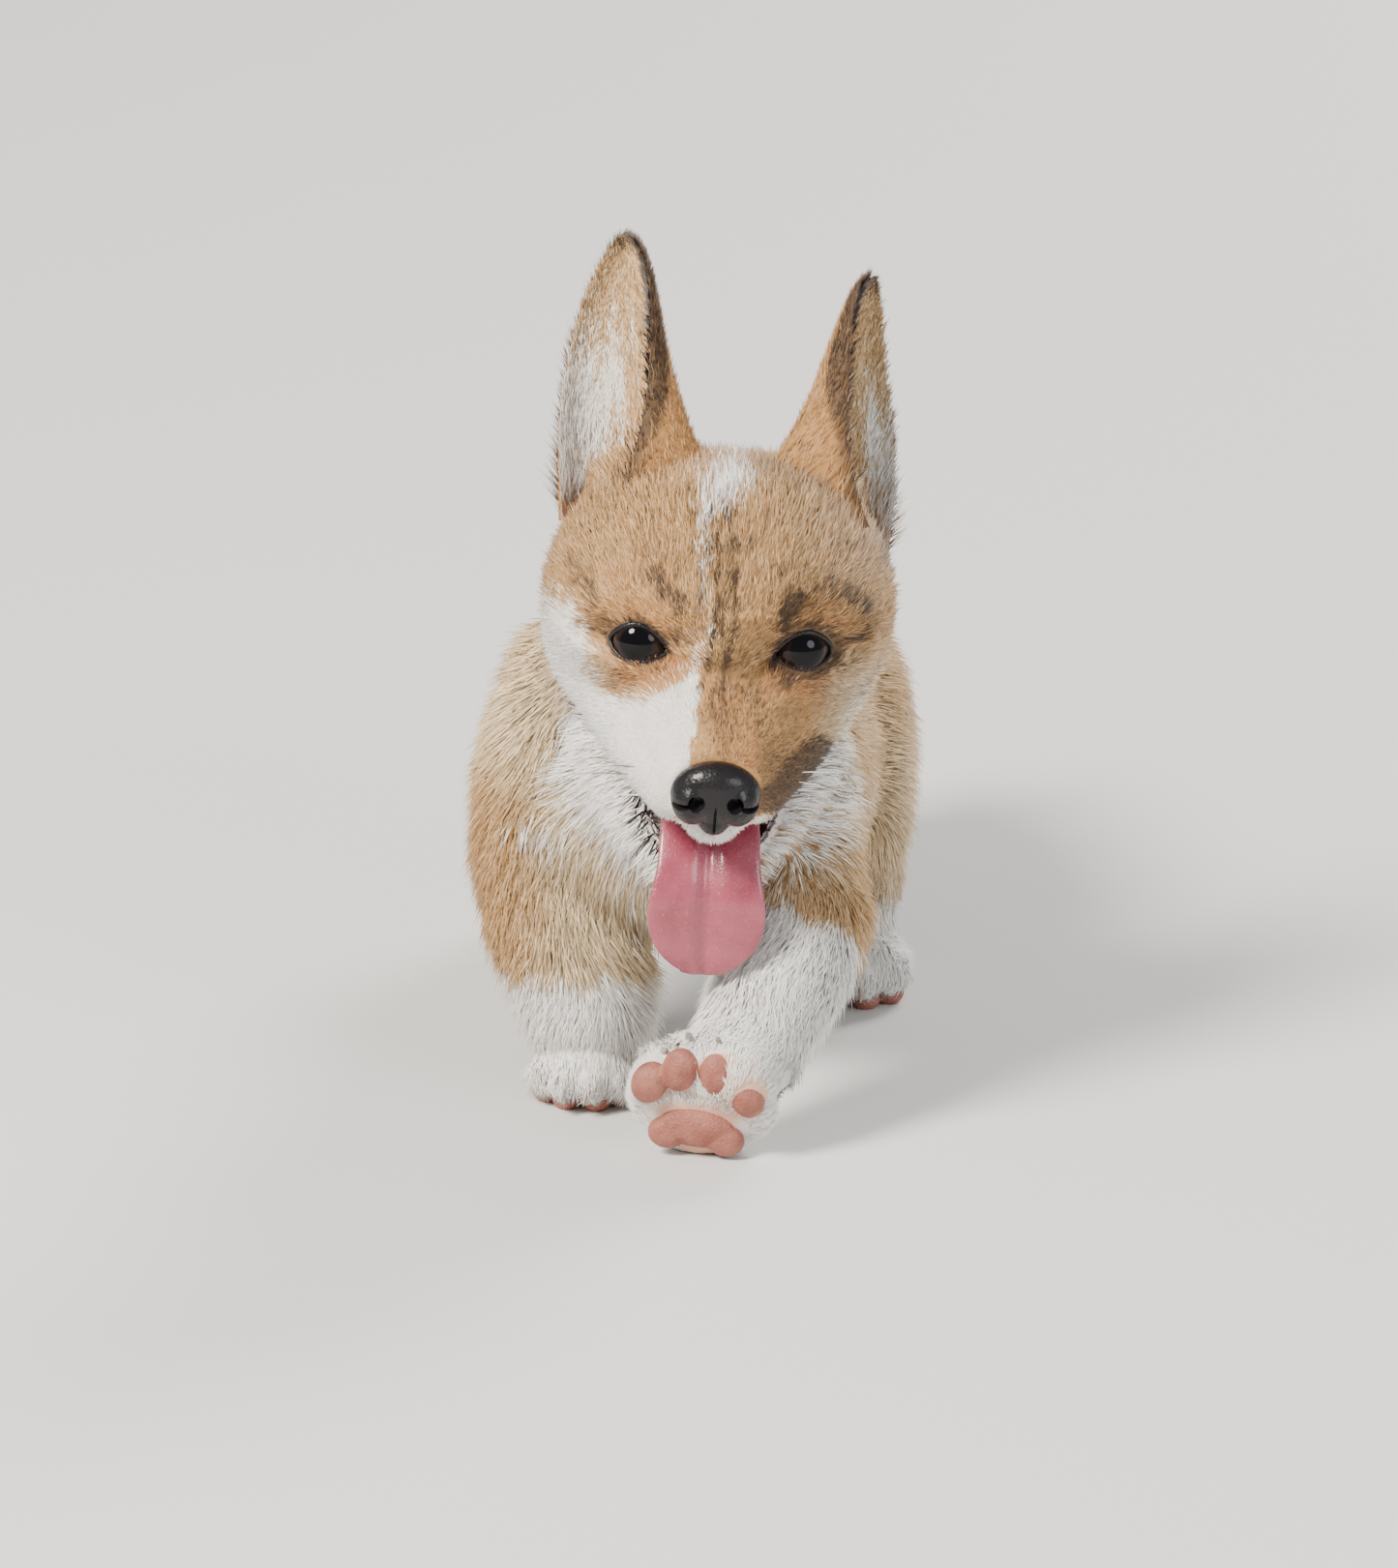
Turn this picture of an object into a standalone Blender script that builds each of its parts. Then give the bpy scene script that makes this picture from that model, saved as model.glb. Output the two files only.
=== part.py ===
"""A Pembroke Welsh Corgi puppy at a run, tongue out, as a life-size museum model.

The puppy faces -Y, its left side is +X and up is +Z. Sizes are millimetres here and metres in Blender.
Each form is a tube or an ellipsoid laid out from named sizes. Forms that flow into each other are fused by a
voxel remesh, smoothed and thinned, and then parted into the pieces a person would name, with a thin gap.
"""

import math

import bmesh
import bpy
import numpy as np
from mathutils.bvhtree import BVHTree

MM = 0.001
GAP = 0.3
WELD = 0.002

# Moves the forms so that the middle of the footprint is the origin and the soles are at z = 0
FRAME_SHIFT = np.array([3.0, -86.6, 0.0])

# The head's place: the point midway between the eyes, and how far the head is turned
HEAD_CENTRE = np.array([15.0, -30.0, 145.5])
HEAD_PITCH_DOWN = 24.0
HEAD_YAW_LEFT = 8.0
HEAD_ROLL_LEFT = 3.4

EYE_X = 22.0
EYE_Y = -1.4
EYE_Z = 0.4
EYE_RADIUS = 9.2
EYE_LOOKS_UP = 30.0
EYE_LOOKS_OUT = 15.0
FISSURE_HALF_WIDTH = 7.9
FISSURE_HALF_HEIGHT = 5.6

MOUTH_CORNER_Y = 8.0

NOSE_Y = -40.0
NOSE_Z = -22.5
NOSE_RADII = (12.8, 7.5, 10.5)

EAR_LENGTH = 66.0
EAR_FLARE = 25.0
EAR_WALL = 2.6

PAW_HALF_WIDTH = 17.5
CLAW_REACH = 2.6

LOCK_SIDES = 5
LOCK_HALF_WIDTH = 4.0

COLLECTION = "pembroke_welsh_corgi"

TAN = (0.55, 0.33, 0.16)
WHITE = (0.86, 0.82, 0.76)
CREAM = (0.74, 0.62, 0.46)
PINK = (0.72, 0.30, 0.30)
BLACK = (0.012, 0.011, 0.012)


def turn_x(degrees):
    c, s = math.cos(math.radians(degrees)), math.sin(math.radians(degrees))
    return np.array([[1, 0, 0], [0, c, -s], [0, s, c]])


def turn_y(degrees):
    c, s = math.cos(math.radians(degrees)), math.sin(math.radians(degrees))
    return np.array([[c, 0, s], [0, 1, 0], [-s, 0, c]])


def turn_z(degrees):
    c, s = math.cos(math.radians(degrees)), math.sin(math.radians(degrees))
    return np.array([[c, -s, 0], [s, c, 0], [0, 0, 1]])


HEAD_TURN = turn_z(HEAD_YAW_LEFT) @ turn_x(HEAD_PITCH_DOWN) @ turn_y(HEAD_ROLL_LEFT)


class Place:
    """A turned and moved frame: its points are given in the local millimetres of one body part."""

    def __init__(self, centre=(0, 0, 0), turn=None):
        self.centre = np.array(centre, float)
        self.turn = np.eye(3) if turn is None else turn

    def at(self, points):
        return np.asarray(points, float) @ self.turn.T + self.centre


WORLD = Place()
HEAD = Place(HEAD_CENTRE, HEAD_TURN)


def mesh_object(name, points, faces, place=WORLD):
    """A hidden working object from points in local millimetres, with its faces pointing out."""
    mesh = bpy.data.meshes.new(name)
    world = (place.at(points) + FRAME_SHIFT) * MM
    mesh.from_pydata(world.tolist(), [], faces)
    sheet = bmesh.new()
    sheet.from_mesh(mesh)
    bmesh.ops.recalc_face_normals(sheet, faces=sheet.faces)
    sheet.to_mesh(mesh)
    sheet.free()
    piece = bpy.data.objects.new(name, mesh)
    bpy.context.scene.collection.objects.link(piece)
    return piece


def unit(rows):
    return rows / np.maximum(np.linalg.norm(rows, axis=-1, keepdims=True), 1e-9)


def eased_rows(rows, per_span):
    """Rows of numbers joined by a Catmull-Rom curve, with per_span samples to a span."""
    rows = np.array(rows, float)
    padded = np.vstack([2 * rows[0] - rows[1], rows, 2 * rows[-1] - rows[-2]])
    t = np.linspace(0, 1, per_span, endpoint=False)[:, None]
    spans = []
    for a, b, c, d in zip(padded, padded[1:], padded[2:], padded[3:]):
        line = 2 * b + (c - a) * t
        bend = (2 * a - 5 * b + 4 * c - d) * t**2 + (3 * b - a - 3 * c + d) * t**3
        spans.append(0.5 * (line + bend))
    return np.vstack(spans + [rows[-1:]])


def ring_faces(rings, sides):
    """Quads between rings of points laid out one after another, with a fan to a pole at each end."""
    faces = []
    for i in range(rings - 1):
        for j in range(sides):
            k = (j + 1) % sides
            faces.append((i * sides + j, i * sides + k, (i + 1) * sides + k, (i + 1) * sides + j))
    first, last = rings * sides, rings * sides + 1
    for j in range(sides):
        k = (j + 1) % sides
        faces.append((first, k, j))
        faces.append((last, (rings - 1) * sides + j, (rings - 1) * sides + k))
    return faces


CAP_ANGLES = np.radians((25, 50, 72))


def capped(centres, radii, along, cap):
    """Adds three shrinking rings and a pole beyond each end of a tube's rings."""
    reach, shrink = np.sin(CAP_ANGLES)[:, None], np.cos(CAP_ANGLES)[:, None]
    first_depth = along[0] * cap * radii[0].mean()
    last_depth = along[-1] * cap * radii[-1].mean()
    poles = [centres[0] - first_depth, centres[-1] + last_depth]
    before, after = centres[0] - first_depth * reach[::-1], centres[-1] + last_depth * reach
    narrowing, widening = radii[-1] * shrink, radii[0] * shrink[::-1]
    rings = len(CAP_ANGLES)
    along = np.vstack([np.repeat(along[:1], rings, 0), along, np.repeat(along[-1:], rings, 0)])
    return np.vstack([before, centres, after]), np.vstack([widening, radii, narrowing]), along, poles


def tube(name, rows, place=WORLD, sides=20, per_span=4, cap=0.7, across=(1, 0, 0), power=2.0, groove=0.0):
    """A closed tube along rows of x, y, z, half-width and half-depth, with a rounded cap at each end.

    Each ring is a superellipse across the line. The half-width is measured along across, and a groove sinks
    the middle of the upper face.
    """
    samples = eased_rows(rows, per_span)
    centres, radii = samples[:, :3], samples[:, 3:5]
    along = unit(np.gradient(centres, axis=0))
    centres, radii, along, poles = capped(centres, radii, along, cap)
    side = unit(np.array(across, float) - (along @ np.array(across, float))[:, None] * along)
    lift = np.cross(side, along)
    turn = np.linspace(0, 2 * np.pi, sides, endpoint=False)
    c, s = np.cos(turn), np.sin(turn)
    wide = np.sign(c) * np.abs(c) ** (2 / power)
    high = np.sign(s) * np.abs(s) ** (2 / power)
    high = high - groove * np.exp(-((wide / 0.22) ** 2)) * (s > 0)
    points = (
        centres[:, None, :]
        + side[:, None, :] * (radii[:, :1] * wide)[:, :, None]
        + lift[:, None, :] * (radii[:, 1:] * high)[:, :, None]
    )
    points = np.vstack([points.reshape(-1, 3), poles])
    return mesh_object(name, points, ring_faces(len(centres), sides), place)


def ellipsoid(name, centre, radii, place=WORLD, turn=None, detail=3):
    """An icosphere stretched to three radii, turned in its place."""
    ball = bmesh.new()
    bmesh.ops.create_icosphere(ball, subdivisions=detail, radius=1.0)
    points = np.array([v.co[:] for v in ball.verts]) * np.array(radii)
    faces = [[v.index for v in f.verts] for f in ball.faces]
    ball.free()
    if turn is not None:
        points = points @ turn.T
    return mesh_object(name, points + np.array(centre, float), faces, place)


def evaluated_mesh(piece):
    bpy.context.view_layer.update()
    graph = bpy.context.evaluated_depsgraph_get()
    return bpy.data.meshes.new_from_object(piece.evaluated_get(graph))


def settle(piece):
    """Writes a piece's modifiers into its mesh."""
    mesh = evaluated_mesh(piece)
    old = piece.data
    piece.modifiers.clear()
    piece.data = mesh
    bpy.data.meshes.remove(old)
    return piece


def discard(*pieces):
    for piece in pieces:
        mesh = piece.data
        bpy.data.objects.remove(piece)
        bpy.data.meshes.remove(mesh)


def joined(name, pieces):
    """Several working objects as one mesh with separate shells."""
    sheet = bmesh.new()
    for piece in pieces:
        sheet.from_mesh(piece.data)
    mesh = bpy.data.meshes.new(name)
    sheet.to_mesh(mesh)
    sheet.free()
    discard(*pieces)
    whole = bpy.data.objects.new(name, mesh)
    bpy.context.scene.collection.objects.link(whole)
    return whole


def fused(name, pieces, voxel, smoothing, triangles):
    """Pieces grown together by a voxel remesh, smoothed and thinned to about a number of triangles."""
    whole = joined(name, pieces)
    remesh = whole.modifiers.new("remesh", "REMESH")
    remesh.mode = "VOXEL"
    remesh.voxel_size = voxel * MM
    if smoothing:
        smooth = whole.modifiers.new("smooth", "SMOOTH")
        smooth.factor = 0.5
        smooth.iterations = smoothing
    settle(whole)
    thin(whole, triangles)
    return whole


def thin(piece, triangles):
    """Collapses edges until about the given number of triangles is left."""
    count = sum(len(p.vertices) - 2 for p in piece.data.polygons)
    if count > triangles:
        thinner = piece.modifiers.new("thin", "DECIMATE")
        thinner.ratio = triangles / count
        thinner.use_collapse_triangulate = True
        settle(piece)
    return piece


def copied(piece, name):
    twin = bpy.data.objects.new(name, piece.data.copy())
    bpy.context.scene.collection.objects.link(twin)
    return twin


def grown(piece, distance=GAP):
    """A copy of a piece with each point moved out along its normal."""
    twin = copied(piece, piece.name + "_grown")
    mesh = twin.data
    points = np.array([v.co[:] for v in mesh.vertices])
    normals = np.array([n.vector[:] for n in mesh.vertex_normals])
    mesh.vertices.foreach_set("co", (points + normals * distance * MM).ravel())
    mesh.update()
    return twin


def largest_shell(piece, weld):
    """Keeps the biggest connected surface of a piece, in triangles, and says whether it is closed.

    Points closer than the weld are merged first, and slivers go.
    """
    sheet = bmesh.new()
    sheet.from_mesh(piece.data)
    if weld:
        bmesh.ops.remove_doubles(sheet, verts=sheet.verts, dist=weld)
        bmesh.ops.dissolve_degenerate(sheet, edges=sheet.edges, dist=weld)
    bmesh.ops.triangulate(sheet, faces=sheet.faces)
    sheet.verts.ensure_lookup_table()
    seen = set()
    best = []
    for start in sheet.verts:
        if start.index in seen:
            continue
        shell, queue = [], [start]
        seen.add(start.index)
        while queue:
            vert = queue.pop()
            shell.append(vert)
            for edge in vert.link_edges:
                other = edge.other_vert(vert)
                if other.index not in seen:
                    seen.add(other.index)
                    queue.append(other)
        if len(shell) > len(best):
            best = shell
    keep = set(v.index for v in best)
    bmesh.ops.delete(sheet, geom=[v for v in sheet.verts if v.index not in keep], context="VERTS")
    bmesh.ops.recalc_face_normals(sheet, faces=sheet.faces)
    closed = len(sheet.faces) > 0 and all(len(edge.link_faces) == 2 for edge in sheet.edges)
    if closed:
        sheet.to_mesh(piece.data)
    sheet.free()
    return closed


def volume(piece):
    sheet = bmesh.new()
    sheet.from_mesh(piece.data)
    amount = sheet.calc_volume()
    sheet.free()
    return amount


def boolean(piece, other, operation):
    """Cuts, joins or crosses a piece with another and keeps its largest closed surface.

    A cut that leaves an open surface, or next to nothing, is made again with the other solver, and then with
    the cutter nudged by a hair.
    """
    before = piece.data.copy()
    least = 0.1 * volume(piece) if operation == "DIFFERENCE" else 0.0
    for nudge in (0.0, 0.02, 0.05):
        for solver in ("EXACT", "MANIFOLD"):
            other.location = (nudge * MM, nudge * MM, 0)
            step = piece.modifiers.new("boolean", "BOOLEAN")
            step.operation = operation
            step.object = other
            step.solver = solver
            settle(piece)
            closed = largest_shell(piece, WELD * MM) or largest_shell(piece, 0.0)
            if closed and volume(piece) > least:
                other.location = (0, 0, 0)
                bpy.data.meshes.remove(before)
                return piece
            piece.data = before.copy()
    raise RuntimeError(f"{piece.name} {operation} {other.name} leaves no closed surface")


def trimmed(piece, *neighbours):
    """Cuts a piece clear of its neighbours by the gap."""
    for neighbour in neighbours:
        cutter = grown(neighbour)
        boolean(piece, cutter, "DIFFERENCE")
        discard(cutter)
    return piece


def taken(whole, zone, name):
    """Takes the part of the whole that lies in a zone, and leaves the rest clear of it by the gap."""
    part = copied(whole, name)
    boolean(part, zone, "INTERSECT")
    wider = grown(zone)
    boolean(whole, wider, "DIFFERENCE")
    discard(wider, zone)
    return part


def with_locks(piece, place, locks):
    """A piece with tapered locks of coat joined to it in one union.

    Each lock is a five-sided spindle from a root sunk under the surface nearest its point, along its way, to
    a tip that stands a little off the surface.
    """
    sheet = bmesh.new()
    sheet.from_mesh(piece.data)
    surface = BVHTree.FromBMesh(sheet)
    sheet.free()
    turn = np.linspace(0, 2 * np.pi, LOCK_SIDES, endpoint=False)
    spindles = []
    for point, way, length in locks:
        spot, normal = surface.find_nearest((place.at(np.array([point], float))[0] + FRAME_SHIFT) * MM)[:2]
        root = np.array(spot) / MM - FRAME_SHIFT
        normal = np.array(normal)
        way = place.turn @ np.array(way, float)
        flat = unit((way - (way @ normal) * normal)[None])[0]
        side = np.cross(flat, normal)
        stations = ((0.05, -1.8, 0.75), (0.34, -0.4, 1.0), (0.68, 0.5, 0.66))
        rings = [
            root + flat * along * length + normal * rise
            + LOCK_HALF_WIDTH * size * (side * np.cos(turn)[:, None] + 0.55 * normal * np.sin(turn)[:, None])
            for along, rise, size in stations
        ]
        poles = [root - flat * 2.0 - normal * 4.0, root + flat * length + normal * 1.2]
        spindles.append(mesh_object("lock", np.vstack([*rings, poles]), ring_faces(len(stations), LOCK_SIDES)))
    coat = joined("locks", spindles)
    boolean(piece, outward(coat), "UNION")
    discard(coat)
    return piece


def outward(piece):
    sheet = bmesh.new()
    sheet.from_mesh(piece.data)
    bmesh.ops.recalc_face_normals(sheet, faces=sheet.faces)
    sheet.to_mesh(piece.data)
    sheet.free()
    return piece


def material(name, colour, roughness):
    finish = bpy.data.materials.new(name)
    finish.use_nodes = True
    shader = finish.node_tree.nodes["Principled BSDF"]
    shader.inputs["Base Color"].default_value = (*colour, 1.0)
    shader.inputs["Roughness"].default_value = roughness
    shader.inputs["Metallic"].default_value = 0.0
    return finish


def finished(piece, name, finish):
    """Names a piece, gives it its material and moves it into the animal's collection."""
    piece.name = name
    piece.data.name = name
    piece.data.materials.clear()
    piece.data.materials.append(finish)
    for owner in list(piece.users_collection):
        owner.objects.unlink(piece)
    bpy.data.collections[COLLECTION].objects.link(piece)
    return piece


# The body's lines: rows of x, y, z, half-width and half-depth
BARREL_ROWS = (
    (-8, 14, 80, 38, 30),
    (-8, 30, 80, 50, 41),
    (-9, 56, 78, 54, 43),
    (-9, 92, 76, 54, 41),
    (-11, 130, 80, 51, 38),
    (-13, 164, 86, 48, 37),
    (-16, 194, 90, 42, 34),
    (-17, 210, 92, 32, 26),
)
BACK_ROWS = (
    (-6, 34, 112, 40, 38),
    (-8, 64, 108, 40, 40),
    (-9, 96, 104, 37, 38),
    (-11, 130, 103, 36, 36),
    (-13, 164, 104, 36, 33),
    (-15, 192, 100, 32, 30),
)
NECK_ROWS = ((-6, 44, 112, 44, 42), (4, 24, 132, 42, 38), (10, 8, 148, 36, 32), (13, -4, 156, 28, 26))

RIGHT_UPPER_ARM_ROWS = ((-34, 48, 112, 23, 32), (-41, 38, 90, 24, 31), (-43, 28, 66, 23, 27), (-41, 22, 50, 21, 22))
RIGHT_FOREARM_ROWS = ((-39, 20, 54, 24, 22), (-32, 11, 38, 23, 20), (-28, 5, 25, 21, 18), (-27, 3, 16, 17.5, 15))
LEFT_UPPER_ARM_ROWS = ((14, 44, 112, 23, 32), (22, 28, 90, 24, 31), (29, 10, 72, 22, 26), (33, -4, 60, 20, 21))
LEFT_FOREARM_ROWS = ((35, -3, 61, 21, 20), (32, -19, 48, 21, 18.5), (26.5, -36, 34.5, 18.5, 15), (20, -49, 25, 16, 13))

LEFT_THIGH_ROWS = ((6, 174, 88, 26, 36), (20, 152, 79, 26, 34), (30, 124, 66, 22, 28), (34, 106, 53, 19, 22))
LEFT_SHANK_ROWS = ((34, 108, 53, 17, 19), (36, 121, 38, 14, 15), (36, 126, 25, 12, 12), (36, 119, 16, 11, 11))
RIGHT_THIGH_ROWS = ((-34, 180, 92, 26, 34), (-43, 170, 78, 23, 32), (-49, 156, 62, 19, 26), (-50, 149, 52, 17, 20))
RIGHT_SHANK_ROWS = ((-50, 151, 52, 16, 18), (-50, 172, 42, 13, 14), (-49, 190, 31, 11, 12), (-48, 194, 17, 11, 11))

TAIL_ROWS = ((-15, 206, 112, 14, 13), (-16, 222, 114, 12, 11), (-16, 232, 112, 9, 9))

# The head's lines, from the point midway between the eyes, with y to the back
HEAD_ROWS = (
    (0, 58, -6, 34, 24),
    (0, 45, -5, 46, 38),
    (0, 28, -6, 51, 44),
    (0, 12, -8, 48, 40),
    (0, 0, -14, 40, 31),
    (0, -8, -18, 28.5, 22),
    (0, -16, -20, 24, 16.5),
    (0, -26, -22.5, 19.5, 13.5),
    (0, -36, -24.5, 16, 12),
    (0, -41, -25.5, 13.5, 11),
)
LIP_ROWS = ((29, 16, -22, 17, 18), (24, -2, -24, 13.5, 14), (17, -17, -27, 12, 11), (9.5, -33, -29, 9.5, 9))
MANDIBLE_ROWS = ((0, 46, -36, 30, 18), (0, 30, -42, 37, 18), (0, 16, -46, 39, 16), (0, 4, -49, 37, 14))
JAW_ROWS = (
    (0, 16, -46, 39, 16),
    (0, 4, -49, 37, 14),
    (0, -8, -53, 30, 11),
    (0, -20, -57, 22, 8),
    (0, -27, -60, 16, 6.5),
)
TONGUE_ROWS = (
    (0, 4, -45, 10, 3.2), (0, -12, -46, 13, 3.4), (0, -25, -49.5, 14, 3.2), (0, -34, -55, 14.6, 3.0),
    (0, -40.0, -62, 15.8, 2.8), (0, -43.4, -68.5, 16.6, 2.6), (0, -45.4, -73.5, 15.4, 2.4),
    (0, -46.6, -77.2, 11.6, 2.1), (0, -47.2, -79.4, 7.2, 1.8),
)


def almond(name, side, place, near, far):
    """The opening between the lids: an almond prism along the line of sight."""
    turn = turn_z(side * EYE_LOOKS_OUT) @ turn_x(-EYE_LOOKS_UP) @ turn_y(side * 6.0)
    t = np.linspace(0, 2 * np.pi, 14, endpoint=False)
    pull = 1 - 0.35 * np.abs(np.cos(t)) ** 6
    wide = FISSURE_HALF_WIDTH * np.cos(t)
    high = FISSURE_HALF_HEIGHT * np.sin(t) * pull
    rings = []
    for depth, scale in ((near, 0.85), (far, 1.3)):
        ring = np.stack([wide * scale, np.full_like(t, -depth), high * scale], -1)
        rings.append(ring @ turn.T)
    centre = np.array([side * EYE_X, EYE_Y, EYE_Z])
    poles = np.array([[0, -near, 0], [0, -far, 0]]) @ turn.T
    points = np.vstack([*rings, poles]) + centre
    return mesh_object(name, points, ring_faces(2, len(t)), place)


def eyes():
    pieces = {}
    for side, word in ((-1, "right"), (1, "left")):
        pieces[word] = ellipsoid("eye_" + word, (side * EYE_X, EYE_Y, EYE_Z), (EYE_RADIUS,) * 3, HEAD, detail=3)
    return pieces


def nose():
    """The nose leather: a rounded block."""
    x, y, z = NOSE_RADII
    block = [
        ellipsoid("nose", (0, NOSE_Y, NOSE_Z), (x, y, z), HEAD),
        ellipsoid("nose", (-6.0, NOSE_Y - 1, NOSE_Z - 1), (6.5, y, 7.5), HEAD),
        ellipsoid("nose", (6.0, NOSE_Y - 1, NOSE_Z - 1), (6.5, y, 7.5), HEAD),
        ellipsoid("nose", (0, NOSE_Y - 0.5, NOSE_Z - 7), (5.0, 6.5, 5.5), HEAD),
    ]
    return fused("nose", block, 1.0, 4, 320)


def open_nostrils(leather):
    """Cuts the two nostrils and the slits at their sides."""
    for side in (-1, 1):
        nostril = ellipsoid("nostril", (side * 5.4, NOSE_Y - 7.6, NOSE_Z + 2.0), (2.3, 3.8, 2.1), HEAD,
                            turn_y(side * -15), 1)
        boolean(leather, nostril, "DIFFERENCE")
        slit = ellipsoid("slit", (side * 9.6, NOSE_Y - 5.2, NOSE_Z + 0.2), (3.8, 3.8, 0.9), HEAD,
                         turn_y(side * 24), 1)
        boolean(leather, slit, "DIFFERENCE")
        discard(nostril, slit)


def head_form():
    """Skull, cheeks, brows, lips, muzzle and the back of the jaw as one form."""
    pieces = [
        tube("head", HEAD_ROWS, HEAD, 28, 4, 0.5, power=2.15),
        tube("mandible", MANDIBLE_ROWS, HEAD, 24, 4, 0.5, power=2.3),
    ]
    for side in (-1, 1):
        lip = [(side * x, y, z, wide, deep) for x, y, z, wide, deep in LIP_ROWS]
        pieces += [
            tube("lip", lip, HEAD, 16, 3, 0.7),
            ellipsoid("cheek", (side * 26, 25, -17), (24, 25, 23), HEAD),
            ellipsoid("brow", (side * 18, 3, 9.5), (11, 9, 7), HEAD, turn_y(side * 20)),
            ellipsoid("lid", (side * EYE_X, EYE_Y, EYE_Z), (EYE_RADIUS + 1.4,) * 3, HEAD),
            ellipsoid("ear_root", (side * 25, 47, 13), (17, 14, 14), HEAD, turn_y(side * 30)),
        ]
    return fused("head", pieces, 1.6, 6, 9000)


def block(name, low, high, place=WORLD):
    """A closed box between two corners."""
    corners = [(x, y, z) for x in (low[0], high[0]) for y in (low[1], high[1]) for z in (low[2], high[2])]
    faces = [(0, 1, 3, 2), (4, 6, 7, 5), (0, 4, 5, 1), (2, 3, 7, 6), (0, 2, 6, 4), (1, 5, 7, 3)]
    return mesh_object(name, corners, faces, place)


def mouth_cutter():
    """The open mouth: all that lies below the line of the upper lip, in front of its corner."""
    lip_line = [(-8, -34.5), (-20, -37.6), (-34, -38.4), (-42, -37.2), (-60, -34)]
    profile = np.array([(MOUTH_CORNER_Y, -30), *lip_line, (-60, -110), (MOUTH_CORNER_Y, -110)])
    count = len(profile)
    half_width = 60.0
    left = np.column_stack([np.full(count, -half_width), profile])
    right = np.column_stack([np.full(count, half_width), profile])
    faces = [tuple(range(count)), tuple(range(2 * count - 1, count - 1, -1))]
    for i in range(count):
        k = (i + 1) % count
        faces.append((i, count + i, count + k, k))
    return mesh_object("mouth", np.vstack([left, right]), faces, HEAD)


def skull_and_face():
    """The head's outer form with the mouth cut open, before sockets and seats are cut into it."""
    head = head_form()
    cutter = mouth_cutter()
    boolean(head, cutter, "DIFFERENCE")
    palate = ellipsoid("palate", (0, -14, -40), (14, 24, 9), HEAD, detail=2)
    boolean(head, palate, "DIFFERENCE")
    discard(cutter, palate)
    thin(head, 1740)
    mirror = np.array([-1, 1, 1])
    twins = [(mirror * point, mirror * way, length) for point, way, length in CHEEK_LOCKS]
    return with_locks(head, HEAD, [*CHEEK_LOCKS, *twins])


def head_and_face(form, eye_pieces, nose_piece):
    """The head with sockets, open lids and a seat for the nose."""
    head = copied(form, "head")
    for side in (-1, 1):
        opening = almond("fissure", side, HEAD, 2.0, 24.0)
        boolean(head, opening, "DIFFERENCE")
        discard(opening)
    return trimmed(head, eye_pieces["right"], eye_pieces["left"], nose_piece)


def jaw():
    """The lower jaw with its lip, hanging open, hollow under the tongue."""
    form = fused("jaw", [tube("jaw", JAW_ROWS, HEAD, 24, 4, 0.8, power=2.3)], 1.8, 3, 420)
    back_of_head = block("back_of_head", (-80, MOUTH_CORNER_Y - GAP, -120), (80, 90, 60), HEAD)
    floor_of_mouth = ellipsoid("mouth_floor", (0, -10, -46), (17, 24, 9), HEAD, turn_x(16), 2)
    for cutter in (back_of_head, floor_of_mouth):
        boolean(form, cutter, "DIFFERENCE")
    discard(back_of_head, floor_of_mouth)
    return form


def tongue():
    return tube("tongue", TONGUE_ROWS, HEAD, 12, 2, 0.7, groove=0.55)


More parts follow.
